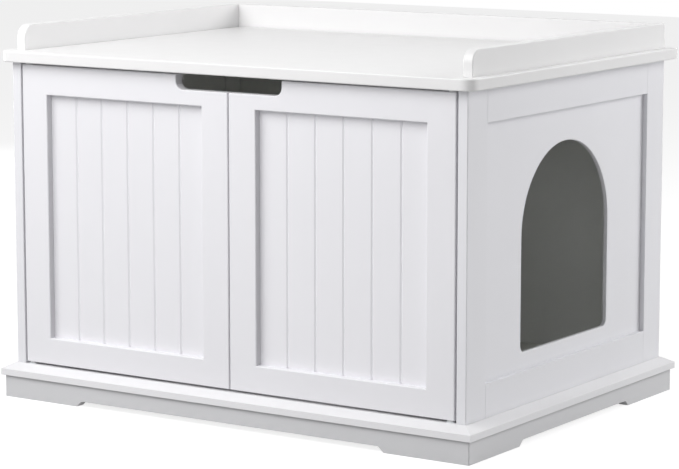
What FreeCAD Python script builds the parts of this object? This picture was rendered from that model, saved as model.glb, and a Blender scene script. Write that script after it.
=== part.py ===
import FreeCAD, Part
import os
import re
import Sketcher
from FreeCAD import Rotation, Vector

# Cat litter box cabinet: a painted board cabinet on a moulded base, with two
# inset doors on pivot pins, framed sides, an arched entrance in the right side
# and a three-sided rim on its top board.
# Millimetres. The origin is on the floor under the middle of the cabinet,
# +X to its right, +Y to its back, +Z up, so the doors face -Y.

# ---------------------------------------------------------------- sizes ----

SIZES = (
    ("body_width", 760, "across the outer faces of the two side frames"),
    ("body_depth", 550, "front to back of the side frames"),
    ("body_height", 438, "from the base board up to the top board"),
    # base
    ("plinth_height", 32, "floor to the underside of the base board"),
    ("plinth_thickness", 15, "plinth boards"),
    ("plinth_overhang", 13, "plinth outside the side frames"),
    ("foot_length", 132, "each foot, measured along a plinth board"),
    ("foot_slope", 9, "length of the slanted end of a foot"),
    ("foot_lift", 8, "height of the plinth between its feet"),
    ("mitre_easing", 0.5, "outer edges of the plinth's mitres"),
    ("block_leg", 42, "short sides of a triangular glue block"),
    ("block_height", 22, "glue block"),
    ("base_thickness", 18, "base board"),
    ("base_overhang", 17.5, "base board outside the side frames"),
    ("nose_height", 9.5, "upright nose around the base board, below its slanted edge"),
    ("nose_easing", 0.6, "rounded edges of the nose"),
    ("slope_margin", 2, "level top of the base board left outside the side frames"),
    # sides
    ("side_thickness", 15, "stiles and rails"),
    ("stile_width", 50, "stiles"),
    ("rail_width", 46, "rails"),
    ("side_reveal", 7, "side panel behind the outer face of its frame"),
    ("side_panel_thickness", 6, "side panels, and the grooves that hold them"),
    ("groove_depth", 8, "grooves in stiles and rails"),
    ("stile_easing", 1.5, "rounded front edges of the front stiles"),
    ("frame_easing", 0.5, "edges where stiles, rails and panel meet on the outer face"),
    ("panel_clearance", 0.5, "between a side panel's edge and the bottom of its groove"),
    ("arch_width", 243, "entrance"),
    ("arch_height", 277, "entrance, floor of the opening to its crown"),
    ("arch_sill", 70, "entrance above the base board"),
    ("arch_corner", 10, "rounded lower corners of the entrance"),
    ("arch_easing", 1, "rounded rim of the entrance"),
    ("back_thickness", 12, "back panel"),
    # top
    ("top_thickness", 16, "top board"),
    ("top_overhang", 14, "top board outside the side frames"),
    ("top_corner", 18, "front corners of the top board, in plan"),
    ("top_easing", 2, "rounded edges of the top board"),
    ("rim_height", 36, "rim above the top board"),
    ("rim_thickness", 15, "rim boards"),
    ("rim_setback", 11, "front ends of the rim behind the front of the body"),
    ("rim_corner", 18, "rounded front corners of the rim"),
    ("rim_easing", 1.5, "rounded top edges of the rim"),
    # doors
    ("door_thickness", 15, "door frames"),
    ("door_side_gap", 3, "between a door and the side frame"),
    ("door_centre_gap", 2, "between the two doors"),
    ("door_end_gap", 3, "above and below a door"),
    ("door_stile", 44, "width of a door frame's upright parts"),
    ("door_top_rail", 42, "width of a door frame's upper level part"),
    ("door_bottom_rail", 38, "width of a door frame's lower level part"),
    ("door_easing", 1.5, "rounded edges of a door frame"),
    ("rebate_lap", 8, "rebate around the back of a door frame's opening"),
    ("door_panel_thickness", 4, "door panels, and the depth of the rebate"),
    ("rebate_clearance", 0.3, "between a door panel and the rebate's walls"),
    ("plank_count", 6, "planks that the grooves draw on a door panel"),
    ("bead_groove_width", 4.5, "V grooves in a door panel"),
    ("bead_groove_depth", 1.8, "V grooves in a door panel"),
    ("slot_width", 177, "finger slot across the tops of both doors"),
    ("slot_depth", 21, "finger slot below the top of a door"),
    ("slot_corner", 12, "rounded lower corners of the finger slot"),
    # pivots
    ("pivot_inset", 8, "pivot axis from the outer edge of a door"),
    ("pin_diameter", 5, "pivot pins"),
    ("pin_reach", 12, "pivot pin inside the door"),
    ("pin_clearance", 0.05, "running clearance around a pin"),
    ("pin_end_room", 0.8, "between the end of a pin and the floor of its bush"),
    ("bush_diameter", 8, "bushes in the door edges"),
    ("bush_length", 14, "bush inside the door"),
    ("bush_flange", 12, "flange of a bush"),
    ("thrust_clearance", 0.3, "between a bush flange and the pivot plate"),
    ("pivot_plate_thickness", 1.2, "pivot plates"),
    ("pivot_plate_width", 14, "pivot plates"),
    ("pivot_plate_length", 44, "pivot plates"),
    ("pivot_plate_corner", 4, "rounded corners of a pivot plate"),
    ("pivot_screw_first", 19, "first plate screw behind the pivot axis"),
    ("pivot_screw_pitch", 12, "between the two screws of a plate"),
    # catches
    ("catch_offset", 112, "middle of a catch from the middle of the cabinet"),
    ("catch_body", 30, "catch housing, across"),
    ("catch_depth", 15, "catch housing, front to back"),
    ("catch_height", 14, "catch housing"),
    ("catch_lug", 9, "screw lug on each end of a catch"),
    ("catch_lug_thickness", 3, "screw lugs"),
    ("magnet_width", 22, "magnet"),
    ("magnet_depth", 5, "magnet"),
    ("magnet_height", 8, "magnet"),
    ("strike_width", 26, "strike plate"),
    ("strike_height", 11, "strike plate"),
    ("strike_thickness", 1.2, "strike plate"),
    ("strike_margin", 1, "strike plate below the top of its door"),
    ("strike_gap", 0.3, "between a strike plate and its magnet"),
    # fasteners
    ("dowel_diameter", 8, "dowels of the side frames"),
    ("dowel_length", 30, "dowels of the side frames"),
    ("dowel_in_board", 10, "dowel inside the top or base board"),
    ("back_dowel_diameter", 6, "dowels of the back panel"),
    ("back_dowel_length", 28, "dowels of the back panel"),
    ("back_dowel_in_frame", 9, "back dowel inside the stile or the top board"),
    ("back_dowel_place", 180, "from the middle of the back panel to its upright dowels"),
    ("back_dowel_inset", 110, "side dowels of the back panel from its ends"),
    ("joint_place", 130, "from the middle of a side to its screws and cam bolts"),
    ("base_screw_diameter", 6, "long screws up through the base board"),
    ("base_screw_head", 10, "long screws up through the base board"),
    ("base_screw_length", 48, "long screws up through the base board"),
    ("cam_diameter", 15, "cam nuts"),
    ("cam_depth", 12, "cam nuts"),
    ("cam_drop", 24, "middle of a cam nut below the top board"),
    ("cam_bolt_diameter", 6, "shank of a cam bolt"),
    ("cam_bolt_thread", 10, "cam bolt inside the top board"),
    ("cam_bore", 7.4, "bore in a cam nut for its bolt"),
    ("rim_screw_diameter", 4, "screws that hold the rim"),
    ("rim_screw_head", 8, "screws that hold the rim"),
    ("rim_screw_length", 34, "screws that hold the rim"),
    ("rim_screw_spacing", 190, "screws along a side rim"),
    ("back_rim_spacing", 240, "screws along the back rim"),
    ("block_screw_diameter", 4, "screws through the glue blocks"),
    ("block_screw_head", 8, "screws through the glue blocks"),
    ("block_screw_length", 35, "screws through the glue blocks"),
    ("small_screw_diameter", 3, "screws of plates, catches and strikes"),
    ("small_screw_head", 5.6, "screws of plates, catches and strikes"),
    ("small_head_height", 1.6, "screws of plates, catches and strikes"),
    ("small_screw_length", 11, "screws of plates, catches and strikes"),
)

# Formulas of those sizes that several pieces share.
BASE_TOP = "(plinth_height + base_thickness)"
BODY_TOP = f"({BASE_TOP} + body_height)"
TOP_FACE = f"({BODY_TOP} + top_thickness)"
HALF_WIDTH = "(body_width / 2)"
HALF_DEPTH = "(body_depth / 2)"
INNER_HALF = f"({HALF_WIDTH} - side_thickness)"
FRAME_MIDDLE = f"({HALF_WIDTH} - side_thickness / 2)"
DOWEL_Y = f"({HALF_DEPTH} - stile_width / 2)"
BACK_MIDDLE = f"({HALF_DEPTH} - back_thickness / 2)"
SIDE_OPENING = "(body_depth - 2 * stile_width)"
DOOR_WIDTH = f"({INNER_HALF} - door_side_gap - door_centre_gap / 2)"
DOOR_HEIGHT = "(body_height - 2 * door_end_gap)"
DOOR_BOTTOM = f"({BASE_TOP} + door_end_gap)"
DOOR_TOP = f"({BODY_TOP} - door_end_gap)"
PANEL_OPENING = f"({DOOR_WIDTH} - 2 * door_stile)"
PANEL_OPENING_HEIGHT = f"({DOOR_HEIGHT} - door_top_rail - door_bottom_rail)"
SLOT_IN_DOOR = "(slot_width / 2 - door_centre_gap / 2)"
PIVOT_X = f"({INNER_HALF} - door_side_gap - pivot_inset)"
PIVOT_Y = f"(door_thickness / 2 - {HALF_DEPTH})"
FLANGE = "(door_end_gap - pivot_plate_thickness - thrust_clearance)"
DOOR_BACK_Y = f"(door_thickness - {HALF_DEPTH})"
CATCH_FRONT_Y = f"({DOOR_BACK_Y} + strike_thickness + strike_gap)"
CATCH_SCREW_X = "(catch_body / 2 + catch_lug / 2)"
STRIKE_Z = f"({DOOR_TOP} - strike_margin - strike_height / 2)"

TOUCH = 0.001      # how near two places are for an edge to count as lying there
UP = Rotation()
DOWN = Rotation(Vector(1, 0, 0), 180)

doc = FreeCAD.newDocument("LitterCabinet")
sheet = doc.addObject("Spreadsheet::Sheet", "Sizes")
for row, (word, value, note) in enumerate(SIZES, start=1):
    sheet.set(f"A{row}", word)
    sheet.set(f"B{row}", str(value))
    sheet.setAlias(f"B{row}", word)
    sheet.set(f"C{row}", note)
doc.recompute()

nodes = []


# -------------------------------------------------------------- helpers ----

def sized(formula):
    """The formula with each size name pointed at its cell in the sheet."""
    return re.sub(r"\b([a-z]\w*)\b", r"Sizes.\1", formula)


def number(formula):
    """What the formula comes to now."""
    return float(sheet.evalExpression(sized(formula)))


def bind(thing, prop, formula):
    thing.setExpression(prop, sized(formula))


def place(thing, x="0", y="0", z="0", turn=UP):
    """Puts a piece's own origin at x, y, z, turned about it."""
    thing.Placement = FreeCAD.Placement(Vector(number(x), number(y), number(z)), turn)
    for letter, formula in zip("xyz", (x, y, z)):
        bind(thing, f"Placement.Base.{letter}", formula)
    return thing


def keep(thing, label):
    """Names a finished sub-part and lists it for writing."""
    thing.Label = label
    nodes.append(thing)
    return thing


def new_body(name):
    return doc.addObject("PartDesign::Body", name)


def sketch_on(body, role, lift="0"):
    """A sketch on one of the body's own planes, raised along its normal."""
    sketch = body.newObject("Sketcher::SketchObject", body.Name + "_sketch")
    sketch.AttachmentSupport = [(p, "") for p in body.Origin.OriginFeatures if p.Role == role]
    sketch.MapMode = "FlatFace"
    if lift != "0":
        bind(sketch, "AttachmentOffset.Base.z", lift)
    return sketch


def pin_down(sketch, geometry, end, x, y):
    """Holds one point of a sketch at x, y from the sketch's origin."""
    for kind, axis, formula in (("DistanceX", -2, x), ("DistanceY", -1, y)):
        if formula == "0":
            sketch.addConstraint(Sketcher.Constraint("PointOnObject", geometry, end, axis))
            continue
        held = Sketcher.Constraint(kind, -1, 1, geometry, end, number(formula))
        bind(sketch, f"Constraints[{sketch.addConstraint(held)}]", formula)


def draw_polygon(sketch, corners):
    """A closed outline whose corners are pairs of formulas."""
    spots = [Vector(number(x), number(y), 0) for x, y in corners]
    first = sketch.GeometryCount
    count = len(spots)
    for i in range(count):
        sketch.addGeometry(Part.LineSegment(spots[i], spots[(i + 1) % count]), False)
    for i in range(count):
        after = first + (i + 1) % count
        sketch.addConstraint(Sketcher.Constraint("Coincident", first + i, 2, after, 1))
    for i, (x, y) in enumerate(corners):
        pin_down(sketch, first + i, 1, x, y)


def draw_rectangle(sketch, x, y, width, height):
    right = width if x == "0" else f"({x} + {width})"
    top = height if y == "0" else f"({y} + {height})"
    draw_polygon(sketch, ((x, y), (right, y), (right, top), (x, top)))


def pad(body, sketch, length, backwards=False):
    feature = body.newObject("PartDesign::Pad", body.Name + "_pad")
    feature.Profile = sketch
    bind(feature, "Length", length)
    feature.Reversed = backwards
    doc.recompute()
    return feature


def pocket(body, sketch, depth=None, backwards=False):
    """Cuts the sketch out of the body, right through if no depth is given."""
    before = body.Shape.Volume
    feature = body.newObject("PartDesign::Pocket", body.Name + "_pocket")
    feature.Profile = sketch
    feature.Reversed = backwards
    if depth is None:
        feature.Type = "ThroughAll"
    else:
        bind(feature, "Length", depth)
    doc.recompute()
    if not body.Shape.Volume < before:
        raise RuntimeError(f"{body.Name}: a pocket removed nothing")
    return feature


def revolve(body, sketch):
    """Turns a half outline about the sketch's upright axis."""
    feature = body.newObject("PartDesign::Revolution", body.Name + "_turned")
    feature.Profile = sketch
    feature.ReferenceAxis = (sketch, ["V_Axis"])
    doc.recompute()
    return feature


def lies(edge, axis, formula):
    """Whether the whole edge lies at one place along an axis."""
    box = edge.BoundBox
    low, high = getattr(box, axis.upper() + "Min"), getattr(box, axis.upper() + "Max")
    spot = number(formula)
    return abs(low - spot) < TOUCH and abs(high - spot) < TOUCH


def runs(edge, axis):
    """Whether the edge is straight and runs along an axis."""
    spans = {"x": edge.BoundBox.XLength, "y": edge.BoundBox.YLength, "z": edge.BoundBox.ZLength}
    return spans.pop(axis) > TOUCH and max(spans.values()) < TOUCH


def round_edges(body, radius, chosen):
    """Rounds the edges of the body as it stands that the test picks."""
    base = body.Tip
    names = [f"Edge{n}" for n, edge in enumerate(base.Shape.Edges, start=1) if chosen(edge)]
    if not names:
        raise RuntimeError(f"{body.Name}: no edge to round")
    feature = body.newObject("PartDesign::Fillet", body.Name + "_round")
    feature.Base = (base, names)
    bind(feature, "Radius", radius)
    doc.recompute()
    return feature


def board(name, width, depth, height):
    """A plain board from its own origin along +X, +Y and +Z."""
    body = new_body(name)
    sketch = sketch_on(body, "XY_Plane")
    draw_rectangle(sketch, "0", "0", width, depth)
    pad(body, sketch, height)
    return body


def copies(name, master, spots, turn=UP):
    """Links to one piece, one at each spot."""
    links = []
    for count, (x, y, z) in enumerate(spots, start=1):
        link = doc.addObject("App::Link", f"{name}_{count}")
        link.LinkedObject = master
        place(link, x, y, z, turn)
        links.append(link)
    return links


def gather(name, links):
    """Separate solids as one group."""
    group = doc.addObject("Part::Compound", name)
    group.Links = links
    doc.recompute()
    return group


def bore(name, blank, tools):
    """The blank with the room cut in it that its fasteners take up."""
    room = tools[0]
    if len(tools) > 1:
        room = gather(name + "_bores", tools)
    before = blank.Shape.Volume
    cut = doc.addObject("Part::Cut", name)
    cut.Base = blank
    cut.Tool = room
    doc.recompute()
    if not cut.Shape.Volume < before:
        raise RuntimeError(f"{name}: its bores removed nothing")
    return cut


def mirrored(spots):
    """Each spot and its twin on the other side of the cabinet."""
    return [(f"({sign} * {x})", y, z) for x, y, z in spots for sign in ("1", "-1")]


# ------------------------------------------------------------ fasteners ----

def turned(name, outline):
    """A round piece on its own +Z axis, from half of its outline."""
    body = new_body(name)
    sketch = sketch_on(body, "XZ_Plane")
    draw_polygon(sketch, outline)
    revolve(body, sketch)
    return body


def dowel(name, diameter, length):
    radius = f"{diameter} / 2"
    return turned(name, (("0", "0"), (radius, "0"), (radius, length), ("0", length)))


def countersunk_screw(name, diameter, head, length):
    """Head down at its origin, shank up, with a drilled tip left blunt."""
    cone = f"(({head} - {diameter}) / 2)"
    shank = f"{diameter} / 2"
    outline = (("0", "0"), (f"{head} / 2", "0"), (shank, cone), (shank, length), ("0", length))
    return turned(name, outline)


def pan_screw(name):
    """Shank down from its origin, head standing above it."""
    shank = "small_screw_diameter / 2"
    head = "small_screw_head / 2"
    outline = (
        ("0", "(-1 * small_screw_length)"),
        (shank, "(-1 * small_screw_length)"),
        (shank, "0"),
        (head, "0"),
        (head, "small_head_height"),
        ("0", "small_head_height"),
    )
    return turned(name, outline)


def cam_bolt(name):
    """Thread up inside the top board, shank and ball head hanging in the cam nut."""
    shank = "cam_bolt_diameter / 2"
    outline = (
        ("0", "(-1 * cam_drop)"),
        (shank, "(-1 * cam_drop)"),
        (shank, "cam_bolt_thread"),
        ("0", "cam_bolt_thread"),
    )
    return turned(name, outline)


def make_fasteners():
    """Every group of fasteners of the carcass, by name."""
    side_dowel = dowel("side_dowel", "dowel_diameter", "dowel_length")
    foot_z = f"({BASE_TOP} - dowel_in_board)"
    head_z = f"({BODY_TOP} + dowel_in_board - dowel_length)"
    rows = [(f"({sign} * {DOWEL_Y})", z) for sign in ("1", "-1") for z in (foot_z, head_z)]
    corners = mirrored([(FRAME_MIDDLE, y, z) for y, z in rows])
    groups = {"side_dowels": gather("side_dowels", copies("side_dowel_at", side_dowel, corners))}

    back_dowel = dowel("back_dowel", "back_dowel_diameter", "back_dowel_length")
    upright_z = f"({BODY_TOP} + back_dowel_in_frame - back_dowel_length)"
    upright = [("back_dowel_place", BACK_MIDDLE, upright_z)]
    links = copies("back_dowel_up", back_dowel, mirrored(upright))
    reach = f"({INNER_HALF} + back_dowel_in_frame)"
    heights = (f"({BASE_TOP} + back_dowel_inset)", f"({BODY_TOP} - back_dowel_inset)")
    for where, x, angle in (("right", reach, -90), ("left", f"(-1 * {reach})", 90)):
        spots = [(x, BACK_MIDDLE, z) for z in heights]
        links += copies(f"back_dowel_{where}", back_dowel, spots, Rotation(Vector(0, 1, 0), angle))
    groups["back_dowels"] = gather("back_dowels", links)

    long_screw = countersunk_screw(
        "long_screw", "base_screw_diameter", "base_screw_head", "base_screw_length"
    )
    spots = [(FRAME_MIDDLE, f"({sign} * joint_place)", "plinth_height") for sign in ("1", "-1")]
    spots.append(("back_dowel_place", BACK_MIDDLE, "plinth_height"))
    groups["base_screws"] = gather("base_screws", copies("base_screw_at", long_screw, mirrored(spots)))

    bolt = cam_bolt("cam_bolt")
    spots = [(FRAME_MIDDLE, f"({sign} * joint_place)", BODY_TOP) for sign in ("1", "-1")]
    groups["cam_bolts"] = gather("cam_bolts", copies("cam_bolt_at", bolt, mirrored(spots)))

    rim_screw = countersunk_screw(
        "rim_screw", "rim_screw_diameter", "rim_screw_head", "rim_screw_length"
    )
    rim_middle = f"({HALF_WIDTH} - rim_thickness / 2)"
    back_rim_y = f"({HALF_DEPTH} - rim_thickness / 2)"
    spots = mirrored([(rim_middle, f"({step} * rim_screw_spacing)", BODY_TOP) for step in ("-1", "0", "1")])
    spots += [(f"({step} * back_rim_spacing)", back_rim_y, BODY_TOP) for step in ("-1", "0", "1")]
    groups["rim_screws"] = gather("rim_screws", copies("rim_screw_at", rim_screw, spots))

    block_screw = countersunk_screw(
        "block_screw", "block_screw_diameter", "block_screw_head", "block_screw_length"
    )
    inside_x = f"({HALF_WIDTH} + plinth_overhang - plinth_thickness - block_leg / 3)"
    inside_y = f"({HALF_DEPTH} + plinth_overhang - plinth_thickness - block_leg / 3)"
    foot = "(plinth_height - block_height)"
    spots = mirrored([(inside_x, f"({sign} * {inside_y})", foot) for sign in ("1", "-1")])
    groups["block_screws"] = gather("block_screws", copies("block_screw_at", block_screw, spots))
    return groups


# ----------------------------------------------------------------- base ----

def make_plinth_board(name, length, x, y, angle):
    """A mitred board with a foot at each end, its outer face along its own X axis."""
    body = new_body(name)
    plan = sketch_on(body, "XY_Plane")
    inner_end = f"({length} - plinth_thickness)"
    draw_polygon(plan, (
        ("0", "0"),
        (length, "0"),
        (inner_end, "plinth_thickness"),
        ("plinth_thickness", "plinth_thickness"),
    ))
    pad(body, plan, "plinth_height")
    gap = sketch_on(body, "XZ_Plane")
    draw_polygon(gap, (
        ("foot_length", "0"),
        (f"({length} - foot_length)", "0"),
        (f"({length} - foot_length - foot_slope)", "foot_lift"),
        ("(foot_length + foot_slope)", "foot_lift"),
    ))
    pocket(body, gap)
    at_tip = lambda e: lies(e, "y", "0") and (lies(e, "x", "0") or lies(e, "x", length))
    round_edges(body, "mitre_easing", lambda e: runs(e, "z") and at_tip(e))
    place(body, x, y, "0", Rotation(Vector(0, 0, 1), angle))
    return keep(body, name)


def make_plinth():
    outer_x = f"({HALF_WIDTH} + plinth_overhang)"
    outer_y = f"({HALF_DEPTH} + plinth_overhang)"
    wide, deep = f"(2 * {outer_x})", f"(2 * {outer_y})"
    make_plinth_board("plinth_front", wide, f"(-1 * {outer_x})", f"(-1 * {outer_y})", 0)
    make_plinth_board("plinth_right", deep, outer_x, f"(-1 * {outer_y})", 90)
    make_plinth_board("plinth_back", wide, outer_x, outer_y, 180)
    make_plinth_board("plinth_left", deep, f"(-1 * {outer_x})", outer_y, 270)


def make_corner_blocks(groups):
    """Triangular glue blocks in the four corners of the plinth."""
    block = new_body("corner_block")
    sketch = sketch_on(block, "XY_Plane")
    draw_polygon(sketch, (("0", "0"), ("block_leg", "0"), ("0", "block_leg")))
    pad(block, sketch, "block_height")
    x = f"({HALF_WIDTH} + plinth_overhang - plinth_thickness)"
    y = f"({HALF_DEPTH} + plinth_overhang - plinth_thickness)"
    foot = "(plinth_height - block_height)"
    links = []
    for angle, across, along in ((0, "-1", "-1"), (90, "1", "-1"), (180, "1", "1"), (270, "-1", "1")):
        turn = Rotation(Vector(0, 0, 1), angle)
        links += copies("corner_block_at", block, [(f"({across} * {x})", f"({along} * {y})", foot)], turn)
    blank = gather("corner_blocks_blank", links)
    keep(bore("corner_blocks", blank, [groups["block_screws"]]), "plinth_corner_blocks")


def make_base_board(groups, pivot_screws):
    """Board with an upright nose and a wide slanted edge above it."""
    width, depth = "(body_width + 2 * base_overhang)", "(body_depth + 2 * base_overhang)"
    body = board("base_blank", width, depth, "base_thickness")
    slant_base_board(body)
    round_edges(body, "nose_easing", lambda e: lies(e, "z", "0") or lies(e, "z", "nose_height"))
    corner = (f"(-1 * {HALF_WIDTH} - base_overhang)", f"(-1 * {HALF_DEPTH} - base_overhang)")
    place(body, *corner, "plinth_height")
    tools = [groups[key] for key in ("side_dowels", "base_screws", "block_screws")] + [pivot_screws]
    keep(bore("base_cut", body, tools), "base_board")


def slant_base_board(body):
    """Planes the slanted edge around the base board, from its nose up to its level top."""
    ends = {"XZ_Plane": ("body_width", False), "YZ_Plane": ("body_depth", True)}
    low, top, reach = "nose_height", "base_thickness", "(base_overhang - slope_margin)"
    for role, (span, backwards) in ends.items():
        sketch = sketch_on(body, role)
        far = f"({span} + 2 * base_overhang)"
        draw_polygon(sketch, (("0", low), ("0", top), (reach, top)))
        draw_polygon(sketch, ((far, low), (f"({far} - {reach})", top), (far, top)))
        pocket(body, sketch, None, backwards)


# ---------------------------------------------------------------- sides ----

def groove_at(side):
    """Where the panel groove starts and ends across a frame, from its -X face."""
    near = "side_reveal"
    if side == "right":
        near = "(side_thickness - side_reveal - side_panel_thickness)"
    return near, f"({near} + side_panel_thickness)"


def side_x(side):
    """The -X face of a side frame."""
    return INNER_HALF if side == "right" else f"(-1 * {HALF_WIDTH})"


def outer_face(side):
    """The outer face of a side frame, from its -X face."""
    return "side_thickness" if side == "right" else "0"


def grooved_section(side, width, groove_high):
    """Outline of a stile or rail across its grain, groove in its far edge or its near one."""
    near, far = groove_at(side)
    edge, floor, other = width, f"({width} - groove_depth)", "0"
    if not groove_high:
        edge, floor, other = "0", "groove_depth", width
    return (
        ("0", other), ("side_thickness", other), ("side_thickness", edge), (far, edge),
        (far, floor), (near, floor), (near, edge), ("0", edge),
    )


def make_stile(side, which, groups):
    """A full-height stile with the panel groove along its inner edge."""
    name = f"{side}_{which}_stile"
    front = which == "front"
    body = new_body(name + "_blank")
    plan = sketch_on(body, "XY_Plane")
    draw_polygon(plan, grooved_section(side, "stile_width", front))
    pad(body, plan, "body_height")
    if front:
        round_edges(body, "stile_easing", lambda e: runs(e, "z") and lies(e, "y", "0"))
    joint = "stile_width" if front else "0"
    at_joint = lambda e: lies(e, "x", outer_face(side)) and lies(e, "y", joint)
    round_edges(body, "frame_easing", lambda e: runs(e, "z") and at_joint(e))
    y = f"(-1 * {HALF_DEPTH})" if front else f"({HALF_DEPTH} - stile_width)"
    place(body, side_x(side), y, BASE_TOP)
    tools = [groups["side_dowels"]]
    if not front:
        tools.append(groups["back_dowels"])
    keep(bore(name + "_cut", body, tools), name)


def make_rail(side, which, groups):
    """A rail with a tongue on each end and the panel groove along its inner edge."""
    name = f"{side}_{which}_rail"
    low = which == "bottom"
    length = f"({SIDE_OPENING} + 2 * groove_depth)"
    near, far = groove_at(side)
    body = new_body(name + "_blank")
    section = sketch_on(body, "XZ_Plane")
    draw_polygon(section, grooved_section(side, "rail_width", low))
    pad(body, section, length, True)
    shoulders = sketch_on(body, "XY_Plane")
    for y in ("0", f"({length} - groove_depth)"):
        draw_rectangle(shoulders, "0", y, near, "groove_depth")
        draw_rectangle(shoulders, far, y, f"(side_thickness - {far})", "groove_depth")
    pocket(body, shoulders, None, True)
    ends = ("groove_depth", f"({length} - groove_depth)")
    arris = "rail_width" if low else "0"

    def shows(edge):
        """Whether the edge is on the outer face, at an end or along the panel."""
        along_or_end = lies(edge, "z", arris) or any(lies(edge, "y", y) for y in ends)
        return along_or_end and lies(edge, "x", outer_face(side))

    round_edges(body, "frame_easing", shows)
    z = BASE_TOP if low else f"({BODY_TOP} - rail_width)"
    place(body, side_x(side), f"(stile_width - groove_depth - {HALF_DEPTH})", z)
    tools = [groups["base_screws"]] if low else [groups["cam_bolts"], groups["cam_nuts"]]
    keep(bore(name + "_cut", body, tools), name)


def make_side_panel(side, name, arched):
    """The thin panel in a side frame, with the entrance cut in it if it is arched."""
    width = f"({SIDE_OPENING} + 2 * groove_depth - 2 * panel_clearance)"
    height = "(body_height - 2 * rail_width + 2 * groove_depth - 2 * panel_clearance)"
    body = new_body(name)
    face = sketch_on(body, "YZ_Plane")
    draw_rectangle(face, "0", "0", width, height)
    pad(body, face, "side_panel_thickness")
    if arched:
        cut_arch(body, width)
    y = f"(stile_width - groove_depth + panel_clearance - {HALF_DEPTH})"
    z = f"({BASE_TOP} + rail_width - groove_depth + panel_clearance)"
    place(body, f"({side_x(side)} + {groove_at(side)[0]})", y, z)
    keep(body, name)


def cut_arch(body, width):
    """Cuts the entrance: upright sides, a half-round head and rounded lower corners."""
    sill = "(arch_sill - rail_width + groove_depth - panel_clearance)"
    left, right = f"({width} / 2 - arch_width / 2)", f"({width} / 2 + arch_width / 2)"
    spring = f"({sill} + arch_height - arch_width / 2)"
    sketch = sketch_on(body, "YZ_Plane")
    spots = ((left, spring), (left, sill), (right, sill), (right, spring))
    corners = [Vector(number(x), number(y), 0) for x, y in spots]
    for start, end in zip(corners, corners[1:]):
        sketch.addGeometry(Part.LineSegment(start, end), False)
    crown = Vector(number(f"{width} / 2"), number(f"{spring} + arch_width / 2"), 0)
    sketch.addGeometry(Part.Arc(corners[3], crown, corners[0]), False)
    for one, other in ((0, 1), (1, 2)):
        sketch.addConstraint(Sketcher.Constraint("Coincident", one, 2, other, 1))
    sketch.addConstraint(Sketcher.Constraint("Coincident", 2, 2, 3, 1))
    sketch.addConstraint(Sketcher.Constraint("Coincident", 3, 2, 0, 1))
    for (line, end), (x, y) in zip(((0, 1), (0, 2), (1, 2), (2, 2)), spots):
        pin_down(sketch, line, end, x, y)
    level = sketch.addConstraint(Sketcher.Constraint("DistanceY", -1, 1, 3, 3, number(spring)))
    bind(sketch, f"Constraints[{level}]", spring)
    pocket(body, sketch, None, True)
    low_corner = lambda e: runs(e, "x") and lies(e, "z", sill)
    round_edges(body, "arch_corner", low_corner)

    def on_rim(edge):
        """Whether the edge belongs to the entrance on either face of the panel."""
        box = edge.BoundBox
        inside = box.YMin > number(left) - TOUCH and box.YMax < number(right) + TOUCH
        return inside and (lies(edge, "x", "0") or lies(edge, "x", "side_panel_thickness"))

    round_edges(body, "arch_easing", on_rim)


def make_cam_nuts(groups):
    """Cam nuts let into the inner faces of the top rails, bored for their bolts."""
    nut = new_body("cam_nut")
    sketch = sketch_on(nut, "XY_Plane")
    middle = sketch.addGeometry(Part.Circle(Vector(), Vector(0, 0, 1), number("cam_diameter / 2")), False)
    sketch.addConstraint(Sketcher.Constraint("Coincident", middle, 3, -1, 1))
    size = sketch.addConstraint(Sketcher.Constraint("Radius", middle, number("cam_diameter / 2")))
    bind(sketch, f"Constraints[{size}]", "cam_diameter / 2")
    pad(nut, sketch, "cam_depth")
    height = f"({BODY_TOP} - cam_drop)"
    links = []
    for side, sign, angle in (("right", "1", 90), ("left", "-1", -90)):
        spots = [(f"({sign} * {INNER_HALF})", f"({way} * joint_place)", height) for way in ("1", "-1")]
        links += copies(f"cam_nut_{side}", nut, spots, Rotation(Vector(0, 1, 0), angle))
    blank = gather("cam_nuts_blank", links)
    return keep(bore("cam_nuts_cut", blank, [groups["cam_bolts"]]), "cam_nuts")


def make_back_panel(groups):
    body = board("back_blank", f"(2 * {INNER_HALF})", "back_thickness", "body_height")
    place(body, f"(-1 * {INNER_HALF})", f"({HALF_DEPTH} - back_thickness)", BASE_TOP)
    keep(bore("back_cut", body, [groups["back_dowels"], groups["base_screws"]]), "back_panel")


# ------------------------------------------------------------------ top ----

def make_top_board(groups, small_screws):
    """The top board, its front corners rounded in plan and all its edges eased."""
    width, depth = "(body_width + 2 * top_overhang)", "(body_depth + 2 * top_overhang)"
    body = board("top_blank", width, depth, "top_thickness")
    round_edges(body, "top_corner", lambda e: runs(e, "z") and lies(e, "y", "0"))
    round_edges(body, "top_easing", lambda e: lies(e, "z", "0") or lies(e, "z", "top_thickness"))
    place(body, f"(-1 * {HALF_WIDTH} - top_overhang)", f"(-1 * {HALF_DEPTH} - top_overhang)", BODY_TOP)
    tools = [groups[key] for key in ("side_dowels", "back_dowels", "cam_bolts", "rim_screws")]
    keep(bore("top_cut", body, tools + small_screws), "top_board")


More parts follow.
